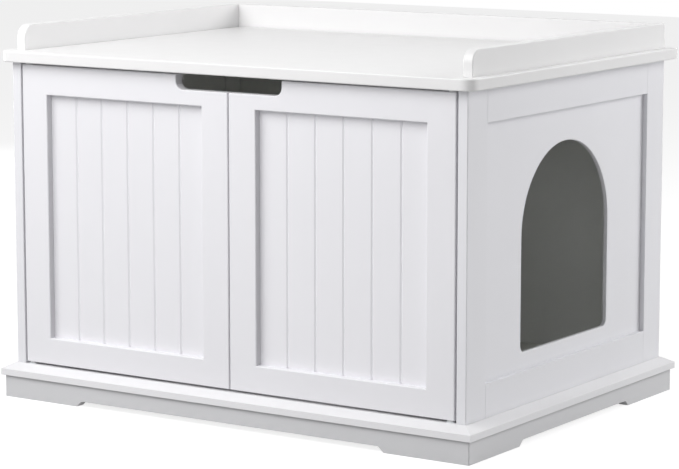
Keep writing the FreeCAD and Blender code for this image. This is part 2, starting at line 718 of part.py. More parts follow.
def make_rim(groups):
    """Two side boards with rounded front corners and a back board between them."""
    length = "(body_depth - rim_setback)"
    for side, x in (("right", f"({HALF_WIDTH} - rim_thickness)"), ("left", f"(-1 * {HALF_WIDTH})")):
        body = board(f"rim_{side}_blank", "rim_thickness", length, "rim_height")
        top_front = lambda e: lies(e, "y", "0") and lies(e, "z", "rim_height")
        round_edges(body, "rim_corner", lambda e: runs(e, "x") and top_front(e))
        on_face = lambda e: lies(e, "x", "0") or lies(e, "x", "rim_thickness")
        hidden = lambda e: lies(e, "z", "0") or lies(e, "y", length)
        round_edges(body, "rim_easing", lambda e: on_face(e) and not hidden(e))
        place(body, x, f"(rim_setback - {HALF_DEPTH})", TOP_FACE)
        keep(bore(f"rim_{side}_cut", body, [groups["rim_screws"]]), f"rim_{side}")
    inside = f"({HALF_WIDTH} - rim_thickness)"
    body = board("rim_back_blank", f"(2 * {inside})", "rim_thickness", "rim_height")
    round_edges(body, "rim_easing", lambda e: runs(e, "x") and lies(e, "z", "rim_height"))
    place(body, f"(-1 * {inside})", f"({HALF_DEPTH} - rim_thickness)", TOP_FACE)
    keep(bore("rim_back_cut", body, [groups["rim_screws"]]), "rim_back")


# --------------------------------------------------------------- pivots ----

def make_pins():
    """Four steel pins, each flush with the far face of its pivot plate."""
    pin = new_body("pivot_pin")
    length = "(pin_reach + door_end_gap)"
    sketch = sketch_on(pin, "XZ_Plane")
    half = "pin_diameter / 2"
    draw_polygon(sketch, (("0", "0"), (half, "0"), (half, length), ("0", length)))
    revolve(pin, sketch)
    links = copies("pin_low", pin, mirrored([(PIVOT_X, PIVOT_Y, BASE_TOP)]))
    links += copies("pin_high", pin, mirrored([(PIVOT_X, PIVOT_Y, BODY_TOP)]), DOWN)
    return keep(gather("pins", links), "pivot_pins")


def plate_screw_spots(z):
    """Both screws of each plate at one level."""
    rows = ("pivot_screw_first", "(pivot_screw_first + pivot_screw_pitch)")
    return mirrored([(PIVOT_X, f"({PIVOT_Y} + {row})", z) for row in rows])


def make_pivot_plates(pins, screws_low, screws_high):
    """Steel plates on the base board and under the top board that hold the pins."""
    plate = board("pivot_plate", "pivot_plate_width", "pivot_plate_length", "pivot_plate_thickness")
    round_edges(plate, "pivot_plate_corner", lambda e: runs(e, "z"))
    x = f"({PIVOT_X} - pivot_plate_width / 2)"
    left_x = f"(-1 * {PIVOT_X} - pivot_plate_width / 2)"
    y = f"({PIVOT_Y} - pivot_plate_width / 2)"
    for where, z, screws in (
        ("bottom", BASE_TOP, screws_low),
        ("top", f"({BODY_TOP} - pivot_plate_thickness)", screws_high),
    ):
        links = copies(f"plate_{where}", plate, [(x, y, z), (left_x, y, z)])
        blank = gather(f"plates_{where}_blank", links)
        keep(bore(f"plates_{where}_cut", blank, [pins, screws]), f"pivot_plates_{where}")


def make_bushes(side):
    """Flanged nylon bushes pressed into a door's lower and upper edge, and the room they take."""
    bore_radius, floor = "(pin_diameter / 2 + pin_clearance)", f"(-1 * {FLANGE})"
    wall = "bush_diameter / 2"
    outside = (("bush_flange / 2", "0"), (wall, "0"), (wall, "bush_length"), ("0", "bush_length"))
    cup = ((bore_radius, floor), ("bush_flange / 2", floor)) + outside
    cup += (("0", "(pin_reach + pin_end_room)"), (bore_radius, "(pin_reach + pin_end_room)"))
    bush = turned(f"{side}_bush", cup)
    solid = turned(f"{side}_bush_room", (("0", floor), ("bush_flange / 2", floor)) + outside)
    x = PIVOT_X if side == "right" else f"(-1 * {PIVOT_X})"
    groups = []
    for master in (bush, solid):
        links = copies(f"{master.Name}_low", master, [(x, PIVOT_Y, DOOR_BOTTOM)])
        links += copies(f"{master.Name}_high", master, [(x, PIVOT_Y, DOOR_TOP)], DOWN)
        groups.append(gather(f"{master.Name}_pair", links))
    keep(groups[0], f"{side}_door_bushes")
    return groups[1]


# -------------------------------------------------------------- catches ----

def make_catches(small_screw):
    """Two magnetic catches screwed under the top board, beside the finger slot."""
    housing = new_body("catch_housing")
    front = sketch_on(housing, "XZ_Plane")
    full = "(catch_body + 2 * catch_lug)"
    lug_z = "(catch_height - catch_lug_thickness)"
    far_lug = "(catch_lug + catch_body)"
    draw_polygon(front, (
        ("catch_lug", "0"), (far_lug, "0"), (far_lug, lug_z), (full, lug_z),
        (full, "catch_height"), ("0", "catch_height"), ("0", lug_z), ("catch_lug", lug_z),
    ))
    pad(housing, front, "catch_depth", True)
    round_edges(housing, "door_easing", lambda e: runs(e, "y") and lies(e, "z", "0"))
    magnet = board("magnet", "magnet_width", "magnet_depth", "magnet_height")

    z = f"({BODY_TOP} - catch_height)"
    magnet_z = f"({STRIKE_Z} - magnet_height / 2)"
    offsets = ("catch_offset", "-1 * catch_offset")
    spots = [(f"({middle} - {full} / 2)", CATCH_FRONT_Y, z) for middle in offsets]
    magnet_spots = [
        (f"({middle} - magnet_width / 2)", CATCH_FRONT_Y, magnet_z) for middle in offsets
    ]
    magnets = keep(gather("magnets", copies("magnet_at", magnet, magnet_spots)), "catch_magnets")

    screw_y = f"({CATCH_FRONT_Y} + catch_depth / 2)"
    screw_z = f"({BODY_TOP} - catch_lug_thickness)"
    screw_spots = mirrored([
        (f"(catch_offset + {way} * {CATCH_SCREW_X})", screw_y, screw_z) for way in ("1", "-1")
    ])
    links = copies("catch_screw_at", small_screw, screw_spots, DOWN)
    screws = keep(gather("catch_screw_group", links), "catch_screws")
    blank = gather("catch_blank", copies("catch_at", housing, spots))
    keep(bore("catch_cut", blank, [magnets, screws]), "catch_housings")
    return screws


def make_strike(side, flat_screw):
    """The steel plate and its screw on the back of a door."""
    sign = "1" if side == "right" else "-1"
    screw_y = f"({DOOR_BACK_Y} + strike_thickness)"
    turn = Rotation(Vector(1, 0, 0), 90)
    screw_place = [(f"({sign} * catch_offset)", screw_y, STRIKE_Z)]
    screw = copies(f"{side}_strike_screw_at", flat_screw, screw_place, turn)[0]
    keep(screw, f"{side}_strike_screw")
    plate = board(f"{side}_strike_blank", "strike_width", "strike_thickness", "strike_height")
    round_edges(plate, "strike_thickness", lambda e: runs(e, "y"))
    x, z = f"({sign} * catch_offset - strike_width / 2)", f"({STRIKE_Z} - strike_height / 2)"
    place(plate, x, DOOR_BACK_Y, z)
    keep(bore(f"{side}_strike_cut", plate, [screw]), f"{side}_strike_plate")
    return screw


# ---------------------------------------------------------------- doors ----

def make_door_frame(side, bush_room, strike_screw):
    """One routed board: opening, finger slot notch, eased edges and a rebate behind."""
    body = new_body(f"{side}_frame_blank")
    face = sketch_on(body, "XZ_Plane")
    draw_rectangle(face, "0", "0", DOOR_WIDTH, DOOR_HEIGHT)
    draw_rectangle(face, "door_stile", "door_bottom_rail", PANEL_OPENING, PANEL_OPENING_HEIGHT)
    pad(body, face, "door_thickness", True)
    notch = sketch_on(body, "XZ_Plane")
    notch_x = "0" if side == "right" else f"({DOOR_WIDTH} - {SLOT_IN_DOOR})"
    draw_rectangle(notch, notch_x, f"({DOOR_HEIGHT} - slot_depth)", SLOT_IN_DOOR, "slot_depth")
    pocket(body, notch)
    inner_end = SLOT_IN_DOOR if side == "right" else notch_x
    notch_floor = f"({DOOR_HEIGHT} - slot_depth)"
    in_corner = lambda e: lies(e, "x", inner_end) and lies(e, "z", notch_floor)
    round_edges(body, "slot_corner", lambda e: runs(e, "y") and in_corner(e))
    round_edges(body, "door_easing", lambda e: lies(e, "y", "0"))
    upright_back = lambda e: runs(e, "z") and lies(e, "y", "door_thickness")
    outer_edge = DOOR_WIDTH if side == "right" else "0"
    round_edges(body, "door_easing", lambda e: upright_back(e) and lies(e, "x", outer_edge))
    rebate = sketch_on(body, "XZ_Plane", "(door_panel_thickness - door_thickness)")
    draw_rectangle(
        rebate, "(door_stile - rebate_lap)", "(door_bottom_rail - rebate_lap)",
        f"({PANEL_OPENING} + 2 * rebate_lap)", f"({PANEL_OPENING_HEIGHT} + 2 * rebate_lap)",
    )
    pocket(body, rebate)
    place(body, door_x(side), f"(-1 * {HALF_DEPTH})", DOOR_BOTTOM)
    keep(bore(f"{side}_frame_cut", body, [bush_room, strike_screw]), f"{side}_door_frame")


def door_x(side):
    """The -X edge of a door."""
    return "(door_centre_gap / 2)" if side == "right" else f"(-1 * {DOOR_WIDTH} - door_centre_gap / 2)"


def make_door_panel(side):
    """The thin panel in a door's rebate, scored with V grooves into planks."""
    body = new_body(f"{side}_panel")
    inset = "(rebate_lap - rebate_clearance)"
    face = sketch_on(body, "XZ_Plane")
    width, height = f"({PANEL_OPENING} + 2 * {inset})", f"({PANEL_OPENING_HEIGHT} + 2 * {inset})"
    draw_rectangle(face, "0", "0", width, height)
    pad(body, face, "door_panel_thickness", True)
    pitch = f"({PANEL_OPENING} / plank_count)"
    first = f"({inset} + {pitch})"
    vee = sketch_on(body, "XY_Plane")
    draw_polygon(vee, (
        (f"({first} - bead_groove_width / 2)", "0"),
        (f"({first} + bead_groove_width / 2)", "0"),
        (first, "bead_groove_depth"),
    ))
    groove = pocket(body, vee, None, True)
    row = body.newObject("PartDesign::LinearPattern", f"{side}_vees")
    row.Originals = [groove]
    row.Direction = (vee, ["H_Axis"])
    bind(row, "Length", f"({pitch} * (plank_count - 2))")
    bind(row, "Occurrences", "plank_count - 1")
    body.Tip = row
    doc.recompute()
    y = f"(door_thickness - door_panel_thickness - {HALF_DEPTH})"
    z = f"({DOOR_BOTTOM} + door_bottom_rail - {inset})"
    place(body, f"({door_x(side)} + door_stile - {inset})", y, z)
    keep(body, f"{side}_door_panel")


# ---------------------------------------------------------------- build ----

def build():
    groups = make_fasteners()
    for group in groups.values():
        keep(group, group.Name)
    small_screw = pan_screw("small_screw")
    pins = make_pins()
    plate_low = f"({BASE_TOP} + pivot_plate_thickness)"
    plate_high = f"({BODY_TOP} - pivot_plate_thickness)"
    low_spots, high_spots = plate_screw_spots(plate_low), plate_screw_spots(plate_high)
    screws_low = gather("screws_low", copies("plate_screw_low", small_screw, low_spots))
    screws_high = gather("screws_high", copies("plate_screw_high", small_screw, high_spots, DOWN))
    keep(gather("pivot_screw_group", [screws_low, screws_high]), "pivot_plate_screws")
    make_pivot_plates(pins, screws_low, screws_high)
    catch_screws = make_catches(small_screw)

    make_plinth()
    make_corner_blocks(groups)
    make_base_board(groups, screws_low)
    groups["cam_nuts"] = make_cam_nuts(groups)
    for side in ("left", "right"):
        for which in ("front", "rear"):
            make_stile(side, which, groups)
        for which in ("bottom", "top"):
            make_rail(side, which, groups)
    make_side_panel("left", "left_side_panel", False)
    make_side_panel("right", "right_arch_panel", True)
    make_back_panel(groups)
    make_top_board(groups, [screws_high, catch_screws])
    make_rim(groups)
    flat_screw = countersunk_screw(
        "flat_screw", "small_screw_diameter", "small_screw_head", "small_screw_length"
    )
    for side in ("left", "right"):
        bush_room = make_bushes(side)
        strike_screw = make_strike(side, flat_screw)
        make_door_frame(side, bush_room, strike_screw)
        make_door_panel(side)


def check_and_write():
    """Stops on any failed object or bad shape, then writes one file for each sub-part."""
    doc.recompute()
    bad = [thing.Name for thing in doc.Objects if {"Invalid", "Error"} & set(thing.State)]
    for thing in nodes:
        shape = thing.Shape
        if shape.isNull() or not shape.isValid() or not shape.Solids:
            bad.append(thing.Label)
    if bad:
        raise RuntimeError("failed: " + ", ".join(bad))
    os.makedirs("parts", exist_ok=True)
    for thing in nodes:
        thing.Shape.exportStep(f"parts/{thing.Label}.step")
        print(f"{thing.Label}: {len(thing.Shape.Solids)} solid(s), {thing.Shape.Volume / 1000:.1f} cm3")


build()
check_and_write()
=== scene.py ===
"""The looks of the cat litter box cabinet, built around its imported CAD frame.

The boards, doors and panels are the CAD's own solids under sprayed white lacquer. The
hardware is built here: screws with cross recesses and threads, cam nuts and their bolts,
pivot pins, catch magnets with pole plates, and fluted dowels, each in the place of its
CAD solid. Metres; the doors face -Y, +X is the side with the arched entrance, +Z is up.
"""

import logging
import math
from abc import ABC, abstractmethod
from collections.abc import Callable, Sequence
from dataclasses import dataclass, field
from enum import Enum

import bmesh
import bpy
from mathutils import Matrix, Vector


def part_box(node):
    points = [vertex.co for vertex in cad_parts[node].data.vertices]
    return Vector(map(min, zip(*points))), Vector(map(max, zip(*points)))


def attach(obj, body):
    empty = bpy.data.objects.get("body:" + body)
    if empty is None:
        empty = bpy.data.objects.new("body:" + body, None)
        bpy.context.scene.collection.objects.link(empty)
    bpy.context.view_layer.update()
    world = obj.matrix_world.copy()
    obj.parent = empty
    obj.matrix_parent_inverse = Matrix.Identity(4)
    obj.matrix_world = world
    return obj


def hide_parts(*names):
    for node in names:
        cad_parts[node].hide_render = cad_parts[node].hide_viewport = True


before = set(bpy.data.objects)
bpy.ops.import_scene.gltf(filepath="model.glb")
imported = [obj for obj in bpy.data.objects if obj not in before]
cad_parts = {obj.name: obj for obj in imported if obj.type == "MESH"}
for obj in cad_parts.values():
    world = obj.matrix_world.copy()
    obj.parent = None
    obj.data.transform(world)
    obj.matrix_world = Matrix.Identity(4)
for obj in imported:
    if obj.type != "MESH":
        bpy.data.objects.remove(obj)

LOG = logging.getLogger("litter_cabinet")
MM = 0.001
WELD = 0.01 * MM
SORT_DIGITS = 4
GOLDEN_TURN = math.radians(137.5)
SMOOTH_BELOW = math.radians(32)
FACE_SAMPLES = 4  # rays that an eased edge or a crevice is told by
MIX_SHARE, MIX_FIRST, MIX_SECOND, MIX_RESULT = 0, 6, 7, 2  # colour sockets of a Mix node
SNUG = 0.985  # how much of its hole's radius a turned part fills
UP, DOWN, BACK = Vector((0, 0, 1)), Vector((0, 0, -1)), Vector((0, 1, 0))

Colour = tuple[float, float, float]
Triple = tuple[float, float, float]
Span = tuple[float, float]
Profile = Sequence[Span]
Box = tuple[Vector, Vector]
Shape = bmesh.types.BMesh
Socket = bpy.types.NodeSocket
Material = bpy.types.Material


class Side(Enum):
    """The two sides of the cabinet, as seen from its front."""

    LEFT = "left"
    RIGHT = "right"


class HeadForm(Enum):
    """How a screw's head is shaped."""

    PAN = "pan"
    COUNTERSUNK = "countersunk"


class Coat(Enum):
    """The finishes of the cabinet. The second word is the material slot."""

    DOOR = ("door", "painted_door")
    SIDE = ("side", "painted_side")
    TOP = ("top", "painted_top")
    BASE = ("base", "painted_base")
    PLINTH = ("plinth", "painted_base")
    PINE = ("pine", "glue_block_wood")
    BEECH = ("beech", "dowel_wood")
    STEEL = ("steel", "zinc_steel")
    CAST = ("cast", "cast_zinc")
    NYLON = ("nylon", "white_nylon")
    MAGNET = ("magnet", "dark_magnet")

    @property
    def slot(self) -> str:
        """The material slot that this finish belongs to."""
        return self.value[1]


# ---------------- node graphs


class Graph:
    """The node tree of a material or a world, with short calls to add nodes and join them."""

    def __init__(self, owner: Material | bpy.types.World) -> None:
        """Starts an empty node tree.

        Args:
            owner: what the tree belongs to.
        """
        owner.use_nodes = True
        owner.node_tree.nodes.clear()
        self.owner = owner
        self.nodes = owner.node_tree.nodes
        self.links = owner.node_tree.links

    def add(self, kind: str, **values: object) -> bpy.types.Node:
        """Adds a node, sets its properties and feeds its inputs.

        Args:
            kind: the node's type without its "ShaderNode" prefix.
            values: properties of the node, or its inputs with _ for a space.

        Returns:
            The new node.
        """
        node = self.nodes.new("ShaderNode" + kind)
        for word, value in values.items():
            if hasattr(node, word):
                setattr(node, word, value)
            else:
                self.feed(node.inputs[word.replace("_", " ")], value)
        return node

    def feed(self, target: Socket, value: object) -> None:
        """Sets an input to a value, or links another node's output to it.

        Args:
            target: the input.
            value: the value or the output.
        """
        if isinstance(value, Socket):
            self.links.new(value, target)
        else:
            target.default_value = value

    def fill(self, node: bpy.types.Node, *values: object) -> Socket:
        """Feeds a node's inputs in their order.

        Args:
            node: the node.
            values: a value or another node's output for each input.

        Returns:
            The node's first output.
        """
        for target, value in zip(node.inputs, values):
            self.feed(target, value)
        return node.outputs[0]

    def noise(self, scale: float, detail: float = 2.0, stretch: Triple = (1, 1, 1)) -> Socket:
        """Noise in the piece's own space.

        Args:
            scale: how many lumps a metre holds.
            detail: how many finer layers it has.
            stretch: the scale along each axis, times the first one.

        Returns:
            The noise, from 0 to 1.
        """
        place = self.add("Mapping", Vector=self.add("TexCoord").outputs["Object"], Scale=stretch)
        noise = self.add("TexNoise", Vector=place.outputs["Vector"], Scale=scale, Detail=detail)
        return noise.outputs["Fac"]

    def spread(self, source: Socket, low: float, high: float,
               start: float = 0.25, end: float = 0.75) -> Socket:
        """Maps a value from start..end to low..high."""
        node = self.add("MapRange", Value=source, From_Min=start, From_Max=end, To_Min=low, To_Max=high)
        return node.outputs["Result"]

    def around(self, source: Socket, middle: float, reach: float, *ends: float) -> Socket:
        """Maps a value from its ends to as far below and above a middle as the reach."""
        return self.spread(source, middle - reach, middle + reach, *ends)

    def calc(self, operation: str, first: Socket, second: Socket | float = 0.0) -> Socket:
        """One sum, named by its operation, of a value and perhaps a second one."""
        return self.fill(self.add("Math", operation=operation), first, second)

    def own(self, word: str) -> bpy.types.NodeOutputs:
        """The X, Y and Z of a spot's place ("Object") or way ("Normal"), in the piece's own space."""
        return self.add("SeparateXYZ", Vector=self.add("TexCoord").outputs[word]).outputs

    def within(self, share: Socket, *tests: tuple[Socket, str, float]) -> Socket:
        """Keeps a share only where every test holds.

        Args:
            share: the share to keep.
            tests: each value that is tested, the name of the test and its limit.

        Returns:
            The share there, and 0 elsewhere.
        """
        for value, test, limit in tests:
            share = self.calc("MULTIPLY", share, self.calc(test, value, limit))
        return share

    def blend(self, share: Socket, first: Colour, second: Colour) -> Socket:
        """A colour between two.

        Args:
            share: how far it is from the first to the second, from 0 to 1.
            first: the colour at 0.
            second: the colour at 1.

        Returns:
            The colour.
        """
        node = self.add("Mix", data_type="RGBA")
        self.feed(node.inputs[MIX_SHARE], share)
        self.feed(node.inputs[MIX_FIRST], (*first, 1))
        self.feed(node.inputs[MIX_SECOND], (*second, 1))
        return node.outputs[MIX_RESULT]

    def dim(self, colour: Socket, amount: Socket) -> Socket:
        """A colour times an amount."""
        return self.add("VectorMath", operation="SCALE", Vector=colour, Scale=amount).outputs["Vector"]

    def eased(self, radius: float) -> Socket:
        """The surface's normal, turned over its edges as if they had this radius."""
        return self.add("Bevel", samples=FACE_SAMPLES, Radius=radius).outputs["Normal"]

    def bump(self, height: Socket, depth: float, under: Socket | None = None) -> Socket:
        """Raises the surface by a height of 0 to 1.

        Args:
            height: the height.
            depth: how far 1 stands above 0, in metres.
            under: the normal that this bump lies on, if there is one.

        Returns:
            The new normal.
        """
        node = self.add("Bump", Strength=1.0, Distance=depth, Height=height)
        if under is not None:
            self.feed(node.inputs["Normal"], under)
        return node.outputs["Normal"]

    def finish(self, colour: Socket, roughness: Socket, normal: Socket, **constants: float) -> Material:
        """Joins everything to the surface.

        Args:
            colour: base colour.
            roughness: roughness.
            normal: normal.
            constants: inputs of the surface that are the same all over it.

        Returns:
            The finished material.
        """
        surface = self.add("BsdfPrincipled", Base_Color=colour, Roughness=roughness, Normal=normal,
                           **constants)
        self.add("OutputMaterial", Surface=surface.outputs["BSDF"])
        return self.owner


# ---------------- finishes


@dataclass(frozen=True)
class Finish(ABC):
    """A finish that can be made into a material."""

    name: str
    colour: Colour

    def start(self) -> Graph:
        """The empty node tree of a new material."""
        return Graph(bpy.data.materials.new(self.name))

    @abstractmethod
    def build(self) -> Material:
        """The material of this finish."""


@dataclass(frozen=True)
class Lacquer(Finish):
    """White satin lacquer sprayed on fibreboard.

    Sprayed paint pulls back a little from each arris, so edges are softened and rubbed a touch
    smoother and thinner, and the film is never quite level. Crevices are darkened as painted shade,
    and the inner faces get painted light, a lighter green-yellow tone; both are chosen for likeness
    and are no known differences of paint.
    """

    roughness: float = 0.40
    roughness_spread: float = 0.06
    ior: float = 1.48
    cloud: float = 0.012
    cloud_scale: float = 5.0
    film_scale: float = 38.0
    film_detail: float = 3.0
    board_tone: float = 0.006
    edge_radius: float = 0.6 * MM
    edge_span: Span = (0.80, 0.995)
    edge_tone: float = 0.03
    wave_scale: float = 42.0
    wave_depth: float = 0.06 * MM
    peel_scale: float = 850.0
    peel_depth: float = 0.012 * MM
    # painted shade in crevices: how far, over what span and how strongly the coat is darkened
    painted_shade_reach: float = 6 * MM
    painted_shade_span: Span = (0.3, 0.9)
    painted_crevice_shade: float = 0.0
    floor_reach: float = 18 * MM
    # painted light: gains on the colour of the faces inside the cabinet
    inner_painted_light: Colour = (1.04, 1.052, 0.995)
    inner_half_width: float = 0.3675
    inner_front: float = -0.2605
    inner_back: float = 0.2735
    inner_floor: float = 0.0495
    inner_ceiling: float = 0.4885

    def build(self) -> Material:
        """Makes the material of this finish.

        Returns:
            The material.
        """
        graph = self.start()
        soft = graph.eased(self.edge_radius)
        square = graph.add("VectorMath", operation="DOT_PRODUCT")
        graph.fill(square, soft, graph.add("NewGeometry").outputs["True Normal"])
        edge = graph.spread(square.outputs["Value"], 1.0, 0.0, *self.edge_span)

        cloud = graph.around(graph.noise(self.cloud_scale, self.film_detail), 1, self.cloud)
        tone = graph.around(graph.add("ObjectInfo").outputs["Random"], 1, self.board_tone, 0, 1)
        rubbed = graph.spread(edge, 1.0, 1 - self.edge_tone, 0, 1)
        level = graph.calc("MULTIPLY", graph.calc("MULTIPLY", cloud, tone), rubbed)
        # painted shade: the coat is darkened where ambient occlusion finds nearby surfaces
        level = graph.calc("MULTIPLY", level, self.painted_shade_level(graph))
        # painted light: the faces inside the cabinet are lifted and tinted green-yellow, standing in for
        # the light inside
        inner = tuple(part * gain for part, gain in zip(self.colour, self.inner_painted_light))
        colour = graph.dim(graph.blend(self.inside(graph), self.colour, inner), level)

        film = graph.around(graph.noise(self.film_scale, self.film_detail),
                            self.roughness, self.roughness_spread)
        roughness = graph.calc("SUBTRACT", film, graph.calc("MULTIPLY", edge, self.roughness_spread))
        waves = graph.bump(graph.noise(self.wave_scale, 1.0), self.wave_depth, soft)
        normal = graph.bump(graph.noise(self.peel_scale, 1.0), self.peel_depth, waves)
        return graph.finish(colour, roughness, normal, IOR=self.ior)

    def painted_shade_level(self, graph: Graph) -> Socket:
        """Painted shade: how much darker the coat is along crevices, as a share of its tone.

        Where a board stands on the floor is no crevice of the cabinet, so it is left out.

        Args:
            graph: the material's node tree.

        Returns:
            1 on open faces, and less in a crevice.
        """
        crevice = graph.add("AmbientOcclusion", samples=FACE_SAMPLES, Distance=self.painted_shade_reach)
        tone = graph.spread(crevice.outputs["AO"], 1 - self.painted_crevice_shade, 1.0, *self.painted_shade_span)
        return graph.calc("MAXIMUM", tone,
                          graph.calc("LESS_THAN", graph.own("Object")["Z"], self.floor_reach))

    def inside(self, graph: Graph) -> Socket:
        """Tells the faces inside the closed cabinet, which are given painted light: a lighter, green-yellow
        tone of their own.

        Args:
            graph: the material's node tree.

        Returns:
            1 inside, and 0 outside.
        """
        place = graph.own("Object")
        share = graph.calc("LESS_THAN", graph.calc("ABSOLUTE", place["X"]), self.inner_half_width)
        return graph.within(share,
                            (place["Y"], "GREATER_THAN", self.inner_front),
                            (place["Y"], "LESS_THAN", self.inner_back),
                            (place["Z"], "GREATER_THAN", self.inner_floor),
                            (place["Z"], "LESS_THAN", self.inner_ceiling))


@dataclass(frozen=True)
class RecessShadeLacquer(Lacquer):
    """The doors' lacquer, with painted shade on the upright walls of the frames' openings."""

    # painted shade: the share of the tone left on the recesses' sideways walls
    wall_painted_shade: float = 0.74
    wall_from: float = 44.5 * MM
    wall_to: float = 319 * MM
    wall_front: float = -273.4 * MM
    sideways_from: float = 0.9

    def painted_shade_level(self, graph: Graph) -> Socket:
        """Painted shade: how much darker the coat is on the routed walls, as a share of its tone.

        Args:
            graph: the material's node tree.

        Returns:
            1 on the faces, and less on the routed walls.
        """
        place = graph.own("Object")
        sideways = graph.calc("ABSOLUTE", graph.own("Normal")["X"])
        across = graph.calc("ABSOLUTE", place["X"])
        share = graph.within(graph.calc("GREATER_THAN", sideways, self.sideways_from),
                             (across, "GREATER_THAN", self.wall_from),
                             (across, "LESS_THAN", self.wall_to),
                             (place["Y"], "GREATER_THAN", self.wall_front))
        return graph.spread(share, 1.0, self.wall_painted_shade, 0, 1)


@dataclass(frozen=True)
class Timber(Finish):
    """Bare wood with its grain along one axis."""

    dark: Colour = (0.5, 0.35, 0.2)
    grain: Triple = (0.06, 1.0, 1.0)
    rings: float = 170.0
    ring_span: Span = (0.38, 0.66)
    flecks: float = 9
    fleck_tone: Span = (0.93, 1.05)
    roughness: float = 0.66
    roughness_spread: float = 0.1
    pore_depth: float = 0.05 * MM

    def build(self) -> Material:
        """Makes the material of this finish.

        Returns:
            The material.
        """
        graph = self.start()
        rings = graph.spread(graph.noise(self.rings, 2.0, self.grain), 0.0, 1.0, *self.ring_span)
        fleck = graph.noise(self.rings * self.flecks, 1.0, self.grain)
        level = graph.spread(fleck, *self.fleck_tone)
        colour = graph.dim(graph.blend(rings, self.colour, self.dark), level)
        roughness = graph.spread(rings, self.roughness, self.roughness + self.roughness_spread, 0, 1)
        coarse = graph.bump(rings, self.pore_depth)
        normal = graph.bump(fleck, self.pore_depth, coarse)
        return graph.finish(colour, roughness, normal)


@dataclass(frozen=True)
class Metal(Finish):
    """Plated or cast metal."""

    roughness: float = 0.3
    roughness_spread: float = 0.1
    streak: Triple = (1.0, 1.0, 1.0)
    grain: float = 1500.0
    grain_depth: float = 0.006 * MM
    tint: Colour = (0.95, 0.98, 1.0)
    tint_scale: float = 160.0
    edge_radius: float = 0.25 * MM

    def build(self) -> Material:
        """Makes the material of this finish.

        Returns:
            The material.
        """
        graph = self.start()
        tinted = tuple(part * gain for part, gain in zip(self.colour, self.tint))
        share = graph.spread(graph.noise(self.tint_scale, 3.0), 0, 1)
        colour = graph.blend(share, self.colour, tinted)
        grain = graph.noise(self.grain, 2.0, self.streak)
        roughness = graph.around(grain, self.roughness, self.roughness_spread)
        normal = graph.bump(grain, self.grain_depth, graph.eased(self.edge_radius))
        return graph.finish(colour, roughness, normal, Metallic=1.0)


@dataclass(frozen=True)
class Moulded(Finish):
    """A moulded or pressed part with a fine surface grain."""

    roughness: float = 0.5
    roughness_spread: float = 0.05
    grain: float = 2600.0
    grain_depth: float = 0.012 * MM
    cloud: float = 0.02
    cloud_scale: float = 90.0
    mottle: float = 0.97
    mottle_scale: float = 300.0
    edge_radius: float = 0.3 * MM

    def build(self) -> Material:
        """Makes the material of this finish.

        Returns:
            The material.
        """
        graph = self.start()
        level = graph.around(graph.noise(self.cloud_scale), 1, self.cloud)
        mottled = tuple(part * self.mottle for part in self.colour)
        share = graph.noise(self.mottle_scale)
        colour = graph.dim(graph.blend(share, self.colour, mottled), level)
        grain = graph.noise(self.grain)
        roughness = graph.around(grain, self.roughness, self.roughness_spread)
        normal = graph.bump(grain, self.grain_depth, graph.eased(self.edge_radius))
        return graph.finish(colour, roughness, normal)


@dataclass
class FinishShelf:
    """Every finish of the cabinet, made once and handed out by name."""

    finishes: dict[Coat, Finish] = field(default_factory=lambda: {
        # The door, side, top and base coats are one white lacquer; their small differences of tone and tint
        # are painted light and shade, standing in for how the light falls on those faces.
        Coat.DOOR: RecessShadeLacquer("door_lacquer", (0.868, 0.862, 0.893)),
        Coat.SIDE: Lacquer("side_lacquer", (0.846, 0.844, 0.876), painted_crevice_shade=0.12),
        Coat.TOP: Lacquer("top_lacquer", (0.868, 0.864, 0.866), roughness=0.36, painted_crevice_shade=0.15),
        Coat.BASE: Lacquer("base_lacquer", (0.858, 0.854, 0.871), painted_crevice_shade=0.2),
        # painted shade: the plinth carries the base board's lacquer, made much darker to stand in for the
        # shade near the floor, with strong crevice shade under the nose
        Coat.PLINTH: Lacquer("plinth_shaded_lacquer", (0.685, 0.685, 0.700), painted_crevice_shade=0.5),
        Coat.PINE: Timber("pine", (0.70, 0.55, 0.38), dark=(0.55, 0.37, 0.21)),
        Coat.BEECH: Timber("beech", (0.72, 0.56, 0.38), dark=(0.62, 0.45, 0.28),
                           grain=(1.0, 1.0, 0.08), rings=420.0),
        Coat.STEEL: Metal("bright_zinc_plate", (0.66, 0.67, 0.68), streak=(1.0, 0.15, 1.0)),
        Coat.CAST: Metal("die_cast_zinc", (0.60, 0.60, 0.61), roughness=0.46,
                         grain=900.0, grain_depth=0.02 * MM),
        Coat.NYLON: Moulded("moulded_nylon", (0.85, 0.85, 0.84)),
        Coat.MAGNET: Moulded("ferrite", (0.09, 0.09, 0.095), roughness=0.62,
                             grain=1400.0, grain_depth=0.03 * MM, cloud=0.08),
    })
    made: dict[Coat, Material] = field(default_factory=dict)

    def take(self, coat: Coat) -> Material:
        """Hands out a finish, and makes it when it is first asked for.

        Args:
            coat: the finish.

        Returns:
            Its material.
        """
        if coat not in self.made:
            self.made[coat] = self.finishes[coat].build()
        return self.made[coat]


# ---------------- mesh helpers


def solids_of(node: str) -> list[Box]:
    """The box of each separate solid of a CAD node.

    Args:
        node: the CAD node's name.

    Returns:
        Lowest and highest corner of each solid, in the order of their places.
    """
    mesh = bmesh.new()
    mesh.from_mesh(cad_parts[node].data)
    bmesh.ops.remove_doubles(mesh, verts=mesh.verts, dist=WELD)
    boxes = []
    left = set(mesh.verts)
    while left:
        seen, open_ends = set(), [left.pop()]
        while open_ends:
            vert = open_ends.pop()
            seen.add(vert)
            near = {edge.other_vert(vert) for edge in vert.link_edges} & left
            left -= near
            open_ends += near
        spots = [vert.co for vert in seen]
        low = Vector(min(spot[axis] for spot in spots) for axis in range(3))
        high = Vector(max(spot[axis] for spot in spots) for axis in range(3))
        boxes.append((low, high))
    mesh.free()
    return sorted(boxes, key=lambda box: tuple(round(part, SORT_DIGITS) for part in box[0]))


